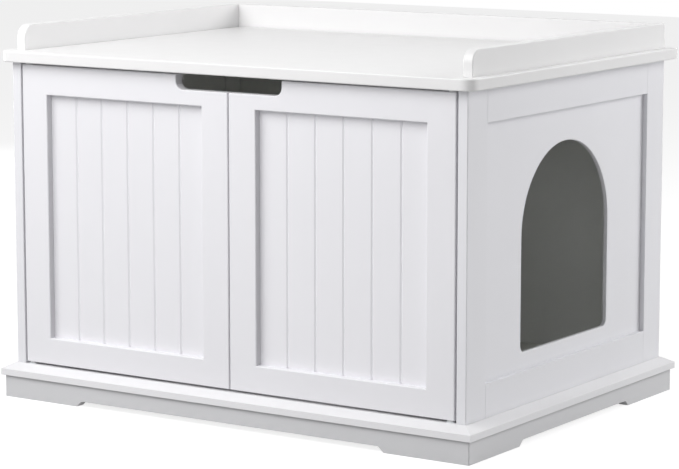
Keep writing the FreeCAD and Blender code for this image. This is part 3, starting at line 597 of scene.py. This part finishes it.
def lathe(profile: Profile, segments: int,
          swell: Callable[[float], float] | None = None) -> Shape:
    """Turns half an outline about the Z axis.

    Args:
        profile: radius and height of each point, starting and ending on the axis.
        segments: how many steps make the round.
        swell: what to multiply the radius by at an angle, if it isn't round.

    Returns:
        The closed shape.
    """
    shape = bmesh.new()
    rings = []
    for radius, height in profile:
        if radius == 0:
            rings.append([shape.verts.new((0, 0, height))])
            continue
        ring = []
        for step in range(segments):
            angle = 2 * math.pi * step / segments
            reach = radius * swell(angle) if swell else radius
            ring.append(shape.verts.new((reach * math.cos(angle), reach * math.sin(angle), height)))
        rings.append(ring)
    for lower, upper in zip(rings, rings[1:]):
        for step in range(segments):
            after = (step + 1) % segments
            corners = [lower[step % len(lower)], lower[after % len(lower)],
                       upper[after % len(upper)], upper[step % len(upper)]]
            corners = list(dict.fromkeys(corners))
            if len(corners) > 2:
                shape.faces.new(corners)
    bmesh.ops.recalc_face_normals(shape, faces=shape.faces)
    return shape


def skin(rows: Sequence[Sequence[Triple]]) -> Shape:
    """Joins rows of corners into a tube, each row a loop of as many corners.

    Args:
        rows: the corners of each row.

    Returns:
        The shape, closed at both ends.
    """
    shape = bmesh.new()
    loops = [[shape.verts.new(spot) for spot in row] for row in rows]
    for one, other in zip(loops, loops[1:]):
        for k in range(len(one)):
            after = (k + 1) % len(one)
            shape.faces.new((one[k], one[after], other[after], other[k]))
    shape.faces.new(loops[0])
    shape.faces.new(loops[-1])
    bmesh.ops.recalc_face_normals(shape, faces=shape.faces)
    return shape


RIDGE_ROOT = 0.97  # where a thread's ridge starts, in core radii
RIDGE_FOOT, RIDGE_CREST = 0.34, 0.05  # half its width there and at its crest, in pitches


def thread(core: float, crest: float, start: float, end: float, pitch: float,
           steps: int = 14) -> Shape:
    """A thread's ridge, wound round the Z axis.

    Args:
        core: radius at its foot.
        crest: radius at its top.
        start: lowest height.
        end: highest height.
        pitch: height of one turn.
        steps: how many steps make a turn.

    Returns:
        The ridge, closed at both ends.
    """
    count = int((end - start - pitch) / pitch * steps)
    rows = []
    for step in range(count + 1):
        angle = 2 * math.pi * step / steps
        fade = min(1.0, step / steps, (count - step) / steps)
        middle = start + pitch / 2 + pitch * step / steps
        tip = core + (crest - core) * fade
        root, foot, top = core * RIDGE_ROOT, pitch * RIDGE_FOOT, pitch * RIDGE_CREST
        corners = ((root, middle - foot), (tip, middle - top), (tip, middle + top), (root, middle + foot))
        rows.append([(r * math.cos(angle), r * math.sin(angle), z) for r, z in corners])
    return skin(rows)


def cross_punch(reach: float, half_width: float, depth: float, taper: float = 0.34,
                flare: float = 1.15) -> Shape:
    """A tapered cross that cuts a screw's recess from above.

    Args:
        reach: half the length of the cross at its mouth.
        half_width: half the width of an arm.
        depth: how deep it goes below height 0.
        taper: size of its bottom against its mouth.
        flare: size of its top, as far above height 0, against its mouth.

    Returns:
        The closed shape.
    """
    plan = []
    for turn in range(4):
        turned = Matrix.Rotation(turn * math.pi / 2, 2)
        for x, y in ((reach, -half_width), (reach, half_width), (half_width, half_width)):
            plan.append(turned @ Vector((x, y)))
    return skin([[(p.x * scale, p.y * scale, height) for p in plan]
                 for height, scale in ((depth, flare), (0.0, 1.0), (-depth, taper))])


def block(size: Triple, middle: Triple, easing: float) -> Shape:
    """A block with eased edges.

    Args:
        size: its three sizes.
        middle: its middle.
        easing: width of the eased edges.

    Returns:
        The closed shape.
    """
    shape = bmesh.new()
    bmesh.ops.create_cube(shape, size=1, matrix=Matrix.Translation(middle) @ Matrix.Diagonal((*size, 1)))
    bmesh.ops.bevel(shape, geom=shape.edges[:], offset=easing, segments=2, profile=0.5, affect="EDGES")
    return shape


def put_in_scene(name: str, data: bpy.types.ID) -> bpy.types.Object:
    """Makes an object and puts it in the scene.

    Args:
        name: the object's name.
        data: its mesh, lamp or camera.

    Returns:
        The object.
    """
    thing = bpy.data.objects.new(name, data)
    bpy.context.scene.collection.objects.link(thing)
    return thing


def add_to(whole: Shape, part: Shape, place: Matrix | None = None) -> None:
    """Adds a copy of a part to a whole.

    Args:
        whole: the shape that it is added to.
        part: the shape that is copied.
        place: where the copy goes, if it moves.
    """
    mesh = bpy.data.meshes.new("part")
    part.to_mesh(mesh)
    if place is not None:
        mesh.transform(place)
    whole.from_mesh(mesh)
    bpy.data.meshes.remove(mesh)


def carve(blank: Shape, punch: Shape) -> Shape:
    """Cuts one shape out of another.

    Args:
        blank: the shape that is cut.
        punch: the shape that is cut out of it.

    Returns:
        What is left of the blank, as a new shape.
    """
    objects = []
    for name, shape in (("blank", blank), ("punch", punch)):
        mesh = bpy.data.meshes.new(name)
        shape.to_mesh(mesh)
        objects.append(put_in_scene(name, mesh))
    cut = objects[0].modifiers.new("cut", "BOOLEAN")
    cut.operation = "DIFFERENCE"
    cut.solver = "EXACT"
    cut.object = objects[1]
    view = bpy.context.evaluated_depsgraph_get()
    mesh = bpy.data.meshes.new_from_object(objects[0].evaluated_get(view))
    carved = bmesh.new()
    carved.from_mesh(mesh)
    for thing in objects:
        data = thing.data
        bpy.data.objects.remove(thing)
        bpy.data.meshes.remove(data)
    bpy.data.meshes.remove(mesh)
    return carved


def facing(spot: Vector, outward: Vector, turn: float = 0.0) -> Matrix:
    """Puts a part's origin at a spot and its +Z outward, and turns it about that line."""
    swing = UP.rotation_difference(outward).to_matrix().to_4x4()
    return Matrix.Translation(spot) @ swing @ Matrix.Rotation(turn, 4, "Z")


def head_spot(box: Box, outward: Vector) -> Vector:
    """The middle of the face of a box that looks outward.

    Args:
        box: the box.
        outward: the way that the face looks, along one axis.

    Returns:
        The face's middle.
    """
    low, high = box
    middle = (low + high) / 2
    for axis in range(3):
        if round(outward[axis]):
            middle[axis] = high[axis] if outward[axis] > 0 else low[axis]
    return middle


# ---------------- hardware


# A pan head's outline from its seat to its top, in shares of its radius and its height.
PAN_OUTLINE = ((0.96, 0.0), (1.0, 0.12), (1.0, 0.42), (0.93, 0.68), (0.78, 0.86), (0.52, 0.96), (0.0, 1.0))


@dataclass(frozen=True)
class WoodScrew:
    """A screw with a cross recess: its seat is at its own origin and its tip below.

    A share of a recess is a part of the head's diameter.
    """

    shank: float
    head: float
    length: float
    form: HeadForm
    head_height: float = 1.6 * MM
    pitch: float = 1.25 * MM
    rounds: int = 28
    core_share: float = 0.36
    neck_share: float = 0.9
    plain_share: float = 0.12
    taper_share: float = 0.9
    thread_start: float = 0.5
    cone_depth: float = 1.05
    land: Span = (0.12 * MM, 0.04 * MM)
    face_share: float = 0.93
    point: Span = (0.25, 0.1 * MM)
    runout: float = 0.3 * MM
    recess_reach: float = 0.29
    recess_arm: float = 0.062
    recess_depth: float = 0.3
    recess_limit: float = 0.2

    def shape(self) -> Shape:
        """Head, recess, shank, thread and tip.

        Returns:
            The screw.
        """
        half, core = self.head / 2, self.shank * self.core_share
        neck_half = self.shank / 2 * self.neck_share
        tip = -self.length
        if self.form is HeadForm.PAN:
            top, neck = self.head_height, 0.0
            head = [(half * across, up * top) for across, up in PAN_OUTLINE]
        else:
            top, neck = 0.0, -(self.head - self.shank) / 2 * self.cone_depth
            head = [(half * SNUG, -self.land[0]), (half * SNUG, -self.land[1]),
                    (half * self.face_share, 0.0), (0, 0.0)]
        plain = neck - self.length * self.plain_share
        body = [(0, tip), (core * self.point[0], tip + self.point[1]),
                (core, tip + self.shank * self.taper_share), (core, plain - self.runout),
                (neck_half, plain), (neck_half, neck)]
        blank = lathe(body + head, self.rounds)
        punch = cross_punch(self.head * self.recess_reach, self.head * self.recess_arm,
                            min(self.head * self.recess_depth, self.length * self.recess_limit))
        raised = bmesh.new()
        add_to(raised, punch, Matrix.Translation((0, 0, top)))
        carved = carve(blank, raised)
        for used in (blank, punch, raised):
            used.free()
        start = tip + self.shank * self.thread_start
        add_to(carved, thread(core, self.shank / 2 * SNUG, start, plain, self.pitch))
        return carved


@dataclass(frozen=True)
class CamNut:
    """A cam nut: its face is at its own origin and its body below."""

    diameter: float = 15 * MM
    depth: float = 12 * MM
    rounds: int = 40
    chamfer: float = 0.5 * MM
    rim_width: float = 1.4 * MM
    dish_from: float = 1.7 * MM
    dish_depth: float = 0.35 * MM
    recess: tuple[float, float, float, float] = (4.1 * MM, 0.75 * MM, 3.2 * MM, 0.6)
    arrow_from: float = 0.9 * MM
    arrow_to: float = 2.6 * MM
    arrow_half: float = 0.9 * MM
    arrow_levels: Span = (-0.7 * MM, 0.5 * MM)

    def shape(self) -> Shape:
        """Turned body, chamfered face, dished middle, a cross recess and an arrow mark.

        Returns:
            The cam nut.
        """
        half = self.diameter / 2 * SNUG
        profile = [(0, -self.depth), (half, -self.depth), (half, -self.chamfer), (half - self.chamfer, 0),
                   (half - self.rim_width, 0), (half - self.dish_from, -self.dish_depth),
                   (0, -self.dish_depth)]
        blank = lathe(profile, self.rounds)
        punch = cross_punch(*self.recess)
        mark = [(half - self.arrow_from, 0), (half - self.arrow_to, self.arrow_half),
                (half - self.arrow_to, -self.arrow_half)]
        arrow = skin([[(x, y, level) for x, y in mark] for level in self.arrow_levels])
        crossed = carve(blank, punch)
        carved = carve(crossed, arrow)
        for used in (blank, punch, arrow, crossed):
            used.free()
        return carved


@dataclass(frozen=True)
class CamBolt:
    """A cam bolt: its collar is at its own origin, its thread above and its ball head below."""

    diameter: float = 6 * MM
    drop: float = 24 * MM
    thread_length: float = 10 * MM
    pitch: float = 1.6 * MM
    rounds: int = 28
    ball_degrees: range = range(30, 150, 20)
    ball_height: float = 2.1
    neck_share: float = 0.55
    collar: Span = (3.2 * MM, 2.4 * MM)
    core_share: float = 0.72
    point: Span = (0.7, 0.8 * MM)
    thread_gap: Span = (0.1 * MM, 0.2 * MM)

    def shape(self) -> Shape:
        """Ball head, thin neck, collar and thread.

        Returns:
            The cam bolt.
        """
        half = self.diameter / 2 * SNUG
        ball = [(half * math.sin(angle), -self.drop + half * (1 - math.cos(angle)))
                for angle in (math.radians(step) for step in self.ball_degrees)]
        core, neck, end = half * self.core_share, half * self.neck_share, self.thread_length
        profile = [(0, -self.drop), *ball, (neck, -self.drop + self.ball_height * half),
                   (neck, -self.collar[0]), (half, -self.collar[1]), (half, -self.thread_gap[1]), (core, 0),
                   (core, end - self.point[1]), (core * self.point[0], end), (0, end)]
        whole = lathe(profile, self.rounds)
        add_to(whole, thread(core, half, self.thread_gap[0], end - self.thread_gap[1], self.pitch))
        return whole


@dataclass(frozen=True)
class FlutedDowel:
    """A beech dowel, its middle at its own origin and its length along Z."""

    diameter: float
    length: float
    flutes: int = 18
    chamfer: float = 1.0 * MM
    fit: float = 0.99
    flute_depth: float = 0.035

    def shape(self) -> Shape:
        """Chamfered ends and flutes all along.

        Returns:
            The dowel.
        """
        half, reach = self.diameter / 2 * self.fit, self.length / 2
        profile = [(0, -reach), (half - self.chamfer, -reach), (half, -reach + self.chamfer),
                   (half, reach - self.chamfer), (half - self.chamfer, reach), (0, reach)]
        return lathe(profile, self.flutes * 4, self.flute)

    def flute(self, angle: float) -> float:
        """The dowel's radius at an angle, against its full radius."""
        return 1 - self.flute_depth * (0.5 + 0.5 * math.cos(self.flutes * angle))


@dataclass(frozen=True)
class PivotPin:
    """A pivot pin along Z from its own origin, with both ends chamfered."""

    diameter: float
    length: float
    chamfer: float = 0.5 * MM
    rounds: int = 32

    def shape(self) -> Shape:
        """Turns the pin.

        Returns:
            The pin.
        """
        half, end = self.diameter / 2, self.length
        return lathe([(0, 0), (half - self.chamfer, 0), (half, self.chamfer), (half, end - self.chamfer),
                      (half - self.chamfer, end), (0, end)], self.rounds)


def set_of(part: Shape, places: Sequence[Matrix]) -> Shape:
    """Gathers copies of a part into one shape, and frees the part.

    Args:
        part: the shape that is copied.
        places: where each copy goes.

    Returns:
        The shape of all the copies.
    """
    whole = bmesh.new()
    for place in places:
        add_to(whole, part, place)
    part.free()
    return whole


def downward(box: Box) -> Vector:
    """Down, for the screws that are driven upwards."""
    return DOWN


def backward(box: Box) -> Vector:
    """To the back, for the screws that are driven in from the cabinet's inside."""
    return BACK


# ---------------- sub-assemblies


@dataclass
class SubAssembly(ABC):
    """Pieces that are dressed and fitted together, and that move with one body."""

    shelf: FinishShelf

    @property
    def body(self) -> str:
        """The CAD body that its pieces move with."""
        return "cabinet"

    @abstractmethod
    def build(self) -> list[str]:
        """Dresses and fits its pieces, and returns their names."""

    def dress(self, coat: Coat, *nodes: str) -> list[str]:
        """Gives CAD nodes their finish.

        Args:
            coat: the finish.
            nodes: the CAD nodes' names.

        Returns:
            The nodes' names, for the report.
        """
        for node in nodes:
            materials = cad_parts[node].data.materials
            materials.clear()
            materials.append(self.shelf.take(coat))
        return list(nodes)

    def mount(self, name: str, shape: Shape, coat: Coat, stands_for: str | None = None) -> str:
        """Makes a piece from its shape and puts it on its body.

        Args:
            name: the piece's name.
            shape: its shape, in the cabinet's own frame.
            coat: its finish.
            stands_for: the CAD node that it replaces, if it replaces one.

        Returns:
            The piece's name, for the report.
        """
        mesh = bpy.data.meshes.new(name)
        shape.to_mesh(mesh)
        shape.free()
        mesh.polygons.foreach_set("use_smooth", [True] * len(mesh.polygons))
        mesh.set_sharp_from_angle(angle=SMOOTH_BELOW)
        mesh.materials.append(self.shelf.take(coat))
        piece = put_in_scene(name, mesh)
        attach(piece, self.body)
        if stands_for:
            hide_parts(stands_for)
        return name

    def fit_screws(self, node: str, screw: WoodScrew, outward: Callable[[Box], Vector]) -> str:
        """Puts a detailed screw in the place of each solid of a node.

        Args:
            node: the CAD node of plain screws.
            screw: the screw to build.
            outward: tells which way the head of the screw in a box looks.

        Returns:
            The piece's name, for the report.
        """
        raised = screw.head_height if screw.form is HeadForm.PAN else 0.0
        places = []
        for count, box in enumerate(solids_of(node)):
            way = outward(box)
            places.append(facing(head_spot(box, way) - way * raised, way, count * GOLDEN_TURN))
        return self.mount(node + "_cross", set_of(screw.shape(), places), Coat.STEEL, node)


@dataclass
class Plinth(SubAssembly):
    """The plinth boards, the glue blocks in their corners and the blocks' screws."""

    boards: tuple[str, ...] = ("plinth_front", "plinth_back", "plinth_left", "plinth_right")
    screw: WoodScrew = WoodScrew(4 * MM, 8 * MM, 35 * MM, HeadForm.COUNTERSUNK, pitch=1.8 * MM)

    def build(self) -> list[str]:
        """Dresses the boards and blocks and fits the screws.

        Returns:
            The names of its pieces.
        """
        return [
            *self.dress(Coat.PLINTH, *self.boards),
            *self.dress(Coat.PINE, "plinth_corner_blocks"),
            self.fit_screws("block_screws", self.screw, downward),
        ]


@dataclass
class BaseBoard(SubAssembly):
    """The moulded base board and the long screws that come up through it."""

    screw: WoodScrew = WoodScrew(6 * MM, 10 * MM, 48 * MM, HeadForm.COUNTERSUNK, pitch=2.4 * MM)

    def build(self) -> list[str]:
        """Dresses the board and fits its screws.

        Returns:
            The names of its pieces.
        """
        return [
            *self.dress(Coat.BASE, "base_board"),
            self.fit_screws("base_screws", self.screw, downward),
        ]


@dataclass
class Carcass(SubAssembly):
    """Both side frames, the back panel and the joinery that holds them."""

    rails: tuple[str, ...] = ("front_stile", "rear_stile", "top_rail", "bottom_rail")
    panels: tuple[str, ...] = ("left_side_panel", "right_arch_panel", "back_panel")
    nut: CamNut = CamNut()
    bolt: CamBolt = CamBolt()
    side_dowel: FlutedDowel = FlutedDowel(8 * MM, 30 * MM)
    back_dowel: FlutedDowel = FlutedDowel(6 * MM, 28 * MM, flutes=14)
    first_turn: float = 0.6

    def build(self) -> list[str]:
        """Dresses the boards and fits the joinery.

        Returns:
            The names of its pieces.
        """
        rails = [f"{side.value}_{rail}" for side in Side for rail in self.rails]
        return [
            *self.dress(Coat.SIDE, *rails, *self.panels),
            self.fit_nuts(),
            self.fit_bolts(),
            self.fit_dowels("side_dowels", self.side_dowel),
            self.fit_dowels("back_dowels", self.back_dowel),
        ]

    def fit_nuts(self) -> str:
        """Cam nuts in the inner faces of the top rails.

        Returns:
            The piece's name.
        """
        places = []
        for count, box in enumerate(solids_of("cam_nuts")):
            inward = Vector((-1 if box[0].x > 0 else 1, 0, 0))
            places.append(facing(head_spot(box, inward), inward, self.first_turn + count * GOLDEN_TURN))
        return self.mount("cam_nuts_turned", set_of(self.nut.shape(), places), Coat.CAST, "cam_nuts")

    def fit_bolts(self) -> str:
        """Cam bolts up through the top rails into the top board.

        Returns:
            The piece's name.
        """
        places = [Matrix.Translation(head_spot(box, DOWN) + UP * self.bolt.drop)
                  for box in solids_of("cam_bolts")]
        return self.mount("cam_bolts_turned", set_of(self.bolt.shape(), places), Coat.STEEL, "cam_bolts")

    def fit_dowels(self, node: str, dowel: FlutedDowel) -> str:
        """Fluted dowels in the place of a node's plain ones.

        Args:
            node: the CAD node of plain dowels.
            dowel: the dowel to build.

        Returns:
            The piece's name.
        """
        places = []
        for low, high in solids_of(node):
            size = high - low
            along = Vector((1, 0, 0)) if size.x > size.z else UP
            places.append(facing((low + high) / 2, along))
        return self.mount(node + "_fluted", set_of(dowel.shape(), places), Coat.BEECH, node)


@dataclass
class Top(SubAssembly):
    """The top board, its rim on three sides and the screws that hold the rim."""

    boards: tuple[str, ...] = ("top_board", "rim_left", "rim_right", "rim_back")
    screw: WoodScrew = WoodScrew(4 * MM, 8 * MM, 34 * MM, HeadForm.COUNTERSUNK, pitch=1.8 * MM)

    def build(self) -> list[str]:
        """Dresses the boards and fits the screws.

        Returns:
            The names of its pieces.
        """
        return [
            *self.dress(Coat.TOP, *self.boards),
            self.fit_screws("rim_screws", self.screw, downward),
        ]


@dataclass
class Pivots(SubAssembly):
    """The pivot plates, pins and plate screws of both doors."""

    pin: PivotPin = PivotPin(5 * MM, 15 * MM)
    screw: WoodScrew = WoodScrew(3 * MM, 5.6 * MM, 11 * MM, HeadForm.PAN)

    def build(self) -> list[str]:
        """Dresses the plates and fits pins and screws.

        Returns:
            The names of its pieces.
        """
        middle = sum(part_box("left_door_frame"), Vector()).z / 2

        def inward(box: Box) -> Vector:
            """Up from the lower plates and down from the upper ones."""
            return UP if box[0].z < middle else DOWN

        places = [Matrix.Translation(head_spot(box, DOWN)) for box in solids_of("pivot_pins")]
        return [
            *self.dress(Coat.STEEL, "pivot_plates_bottom", "pivot_plates_top"),
            self.mount("pivot_pins_turned", set_of(self.pin.shape(), places), Coat.STEEL, "pivot_pins"),
            self.fit_screws("pivot_plate_screws", self.screw, inward),
        ]


@dataclass
class Catches(SubAssembly):
    """The two magnetic catches under the top board."""

    screw: WoodScrew = WoodScrew(3 * MM, 5.6 * MM, 11 * MM, HeadForm.PAN)
    pole_thickness: float = 1.2 * MM
    core_setback: float = 0.5 * MM
    easing: float = 0.2 * MM

    def build(self) -> list[str]:
        """Dresses the housings and fits magnets, pole plates and screws.

        Returns:
            The names of its pieces.
        """
        return [
            *self.dress(Coat.NYLON, "catch_housings"),
            self.fit_cores(),
            self.fit_poles(),
            self.fit_screws("catch_screws", self.screw, downward),
        ]

    def blocks(self, parts: Sequence[tuple[Triple, Triple]]) -> Shape:
        """Gathers eased blocks into one shape.

        Args:
            parts: the size and the middle of each block.

        Returns:
            The shape of all the blocks.
        """
        whole = bmesh.new()
        for size, middle in parts:
            part = block(size, middle, self.easing)
            add_to(whole, part)
            part.free()
        return whole

    def fit_cores(self) -> str:
        """The ferrite between the pole plates, set back from their front edges.

        Returns:
            The piece's name.
        """
        cores = []
        for low, high in solids_of("catch_magnets"):
            size, middle = high - low, (low + high) / 2
            cores.append(((size.x, size.y - self.core_setback, size.z - 2 * self.pole_thickness),
                          (middle.x, middle.y + self.core_setback / 2, middle.z)))
        return self.mount("catch_magnet_cores", self.blocks(cores), Coat.MAGNET, "catch_magnets")

    def fit_poles(self) -> str:
        """The steel pole plates above and below each magnet.

        Returns:
            The piece's name.
        """
        poles = []
        for low, high in solids_of("catch_magnets"):
            size, middle = high - low, (low + high) / 2
            for level in (low.z + self.pole_thickness / 2, high.z - self.pole_thickness / 2):
                poles.append(((size.x, size.y, self.pole_thickness), (middle.x, middle.y, level)))
        return self.mount("catch_pole_plates", self.blocks(poles), Coat.STEEL)


@dataclass
class Door(SubAssembly):
    """One door: frame, grooved panel, bushes, strike plate and its screw."""

    side: Side
    screw: WoodScrew = WoodScrew(3 * MM, 5.6 * MM, 11 * MM, HeadForm.COUNTERSUNK)

    @property
    def body(self) -> str:
        """The CAD body that its pieces move with."""
        return f"{self.side.value}_door"

    def build(self) -> list[str]:
        """Dresses the door's boards and hardware and fits its screw.

        Returns:
            The names of its pieces.
        """
        name = self.side.value
        return [
            *self.dress(Coat.DOOR, f"{name}_door_frame", f"{name}_door_panel"),
            *self.dress(Coat.NYLON, f"{name}_door_bushes"),
            *self.dress(Coat.STEEL, f"{name}_strike_plate"),
            self.fit_screws(f"{name}_strike_screw", self.screw, backward),
        ]


# ---------------- studio


@dataclass(frozen=True)
class SoftLamp:
    """A large rectangular lamp that shines on a spot."""

    name: str
    place: Triple
    aim: Triple
    size: tuple[float, float]
    power: float
    colour: Colour = (1.0, 1.0, 1.0)

    def build(self) -> None:
        """Puts the lamp in the scene."""
        lamp = bpy.data.lights.new(self.name, "AREA")
        lamp.shape = "RECTANGLE"
        lamp.size, lamp.size_y = self.size
        lamp.energy = self.power
        lamp.color = self.colour
        thing = put_in_scene(self.name, lamp)
        thing.location = self.place
        way = Vector(self.aim) - Vector(self.place)
        thing.rotation_euler = way.to_track_quat("-Z", "Y").to_euler()


@dataclass(frozen=True)
class Studio:
    """A pale floor and soft light all round."""

    ambient: float = 0.12
    floor_size: float = 14.0
    floor_colour: Colour = (0.50, 0.50, 0.50)
    shown_colour: Colour = (0.35, 0.35, 0.35)
    shown_glow: float = 0.82
    lamps: tuple[SoftLamp, ...] = (
        SoftLamp("key_lamp", (-0.6, -1.5, 1.5), (0.0, -0.27, 0.35), (2.0, 1.4), 36.0),
        SoftLamp("top_lamp", (0.2, -0.2, 3.4), (0.0, 0.0, 0.4), (2.6, 2.6), 13.0),
        SoftLamp("rear_lamp", (2.2, 2.0, 1.6), (0.38, 0.0, 0.3), (1.8, 1.6), 56.0),
        SoftLamp("side_lamp", (2.6, 1.0, 0.36), (0.38, 0.0, 0.27), (1.8, 0.6), 6.0),
        SoftLamp("front_lamp", (1.6, -2.8, 1.6), (0.2, -0.2, 0.3), (1.6, 1.6), 7.0),
        SoftLamp("left_lamp", (-2.8, 0.9, 0.45), (-0.38, 0.1, 0.3), (1.8, 0.8), 20.0),
    )

    def build(self) -> None:
        """Builds world, floor and lamps."""
        self.light_world()
        self.lay_floor()
        for lamp in self.lamps:
            lamp.build()

    @staticmethod
    def seen_directly(graph: Graph) -> Socket:
        """Tells the rays from the camera, a glossy surface or glass.

        Args:
            graph: the node tree that asks.

        Returns:
            1 for those rays, and 0 for the rest.
        """
        path = graph.add("LightPath").outputs
        seen = graph.calc("MAXIMUM", path["Is Camera Ray"], path["Is Glossy Ray"])
        return graph.calc("MAXIMUM", seen, path["Is Transmission Ray"])

    def light_world(self) -> None:
        """An even white sky, white where it is seen and plain where it lights."""
        graph = Graph(bpy.data.worlds.new("studio_sky"))
        strength = graph.spread(self.seen_directly(graph), self.ambient, 1.0, 0, 1)
        sky = graph.add("Background", Color=(1, 1, 1, 1), Strength=strength)
        graph.add("OutputWorld", Surface=sky.outputs["Background"])
        bpy.context.scene.world = graph.owner

    def lay_floor(self) -> None:
        """A floor that shows white around a faint shadow, and nothing from below."""
        shape = bmesh.new()
        bmesh.ops.create_grid(shape, x_segments=1, y_segments=1, size=self.floor_size / 2)
        mesh = bpy.data.meshes.new("studio_floor")
        shape.to_mesh(mesh)
        shape.free()
        floor = put_in_scene("studio_floor", mesh)
        mesh.materials.append(self.floor_material())

    def floor_material(self) -> Material:
        """White paper: a plain bounce for the light, and a glow where it is seen.

        Returns:
            The material.
        """
        graph = Graph(bpy.data.materials.new("studio_paper"))
        plain = graph.add("BsdfDiffuse", Color=(*self.floor_colour, 1)).outputs["BSDF"]
        shown = graph.add("BsdfDiffuse", Color=(*self.shown_colour, 1)).outputs["BSDF"]
        glow = graph.add("Emission", Strength=self.shown_glow).outputs["Emission"]
        shown = graph.fill(graph.add("AddShader"), shown, glow)
        above = graph.fill(graph.add("MixShader"), self.seen_directly(graph), plain, shown)
        from_below = graph.add("NewGeometry").outputs["Backfacing"]
        clear = graph.add("BsdfTransparent").outputs["BSDF"]
        paper = graph.fill(graph.add("MixShader"), from_below, above, clear)
        graph.add("OutputMaterial", Surface=paper)
        return graph.owner


@dataclass(frozen=True)
class PhotoCamera:
    """The camera at the photograph's viewing angle."""

    place: Triple = (2.1785, -3.2796, 0.8396)
    azimuth: float = math.radians(33.60)
    pitch: float = math.radians(8.74)
    lens: float = 145.4

    def build(self) -> None:
        """Puts the camera in the scene and makes it the scene's own."""
        lens = bpy.data.cameras.new("photo_camera")
        lens.lens = self.lens
        camera = put_in_scene("photo_camera", lens)
        camera.location = self.place
        camera.rotation_euler = (math.pi / 2 - self.pitch, 0, self.azimuth)
        bpy.context.scene.camera = camera


# ---------------- main


def main() -> None:
    """Builds every sub-assembly in order and reports its pieces."""
    logging.basicConfig(level=logging.INFO, format="%(message)s")
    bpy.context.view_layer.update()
    bpy.context.scene.view_settings.view_transform = "Standard"
    PhotoCamera().build()
    Studio().build()
    shelf = FinishShelf()
    assemblies = [kind(shelf) for kind in (Plinth, BaseBoard, Carcass, Top, Pivots, Catches)]
    assemblies += [Door(shelf, side) for side in Side]
    for assembly in assemblies:
        for piece in assembly.build():
            LOG.info("%s: %s", type(assembly).__name__, piece)


if __name__ == "__main__":
    main()
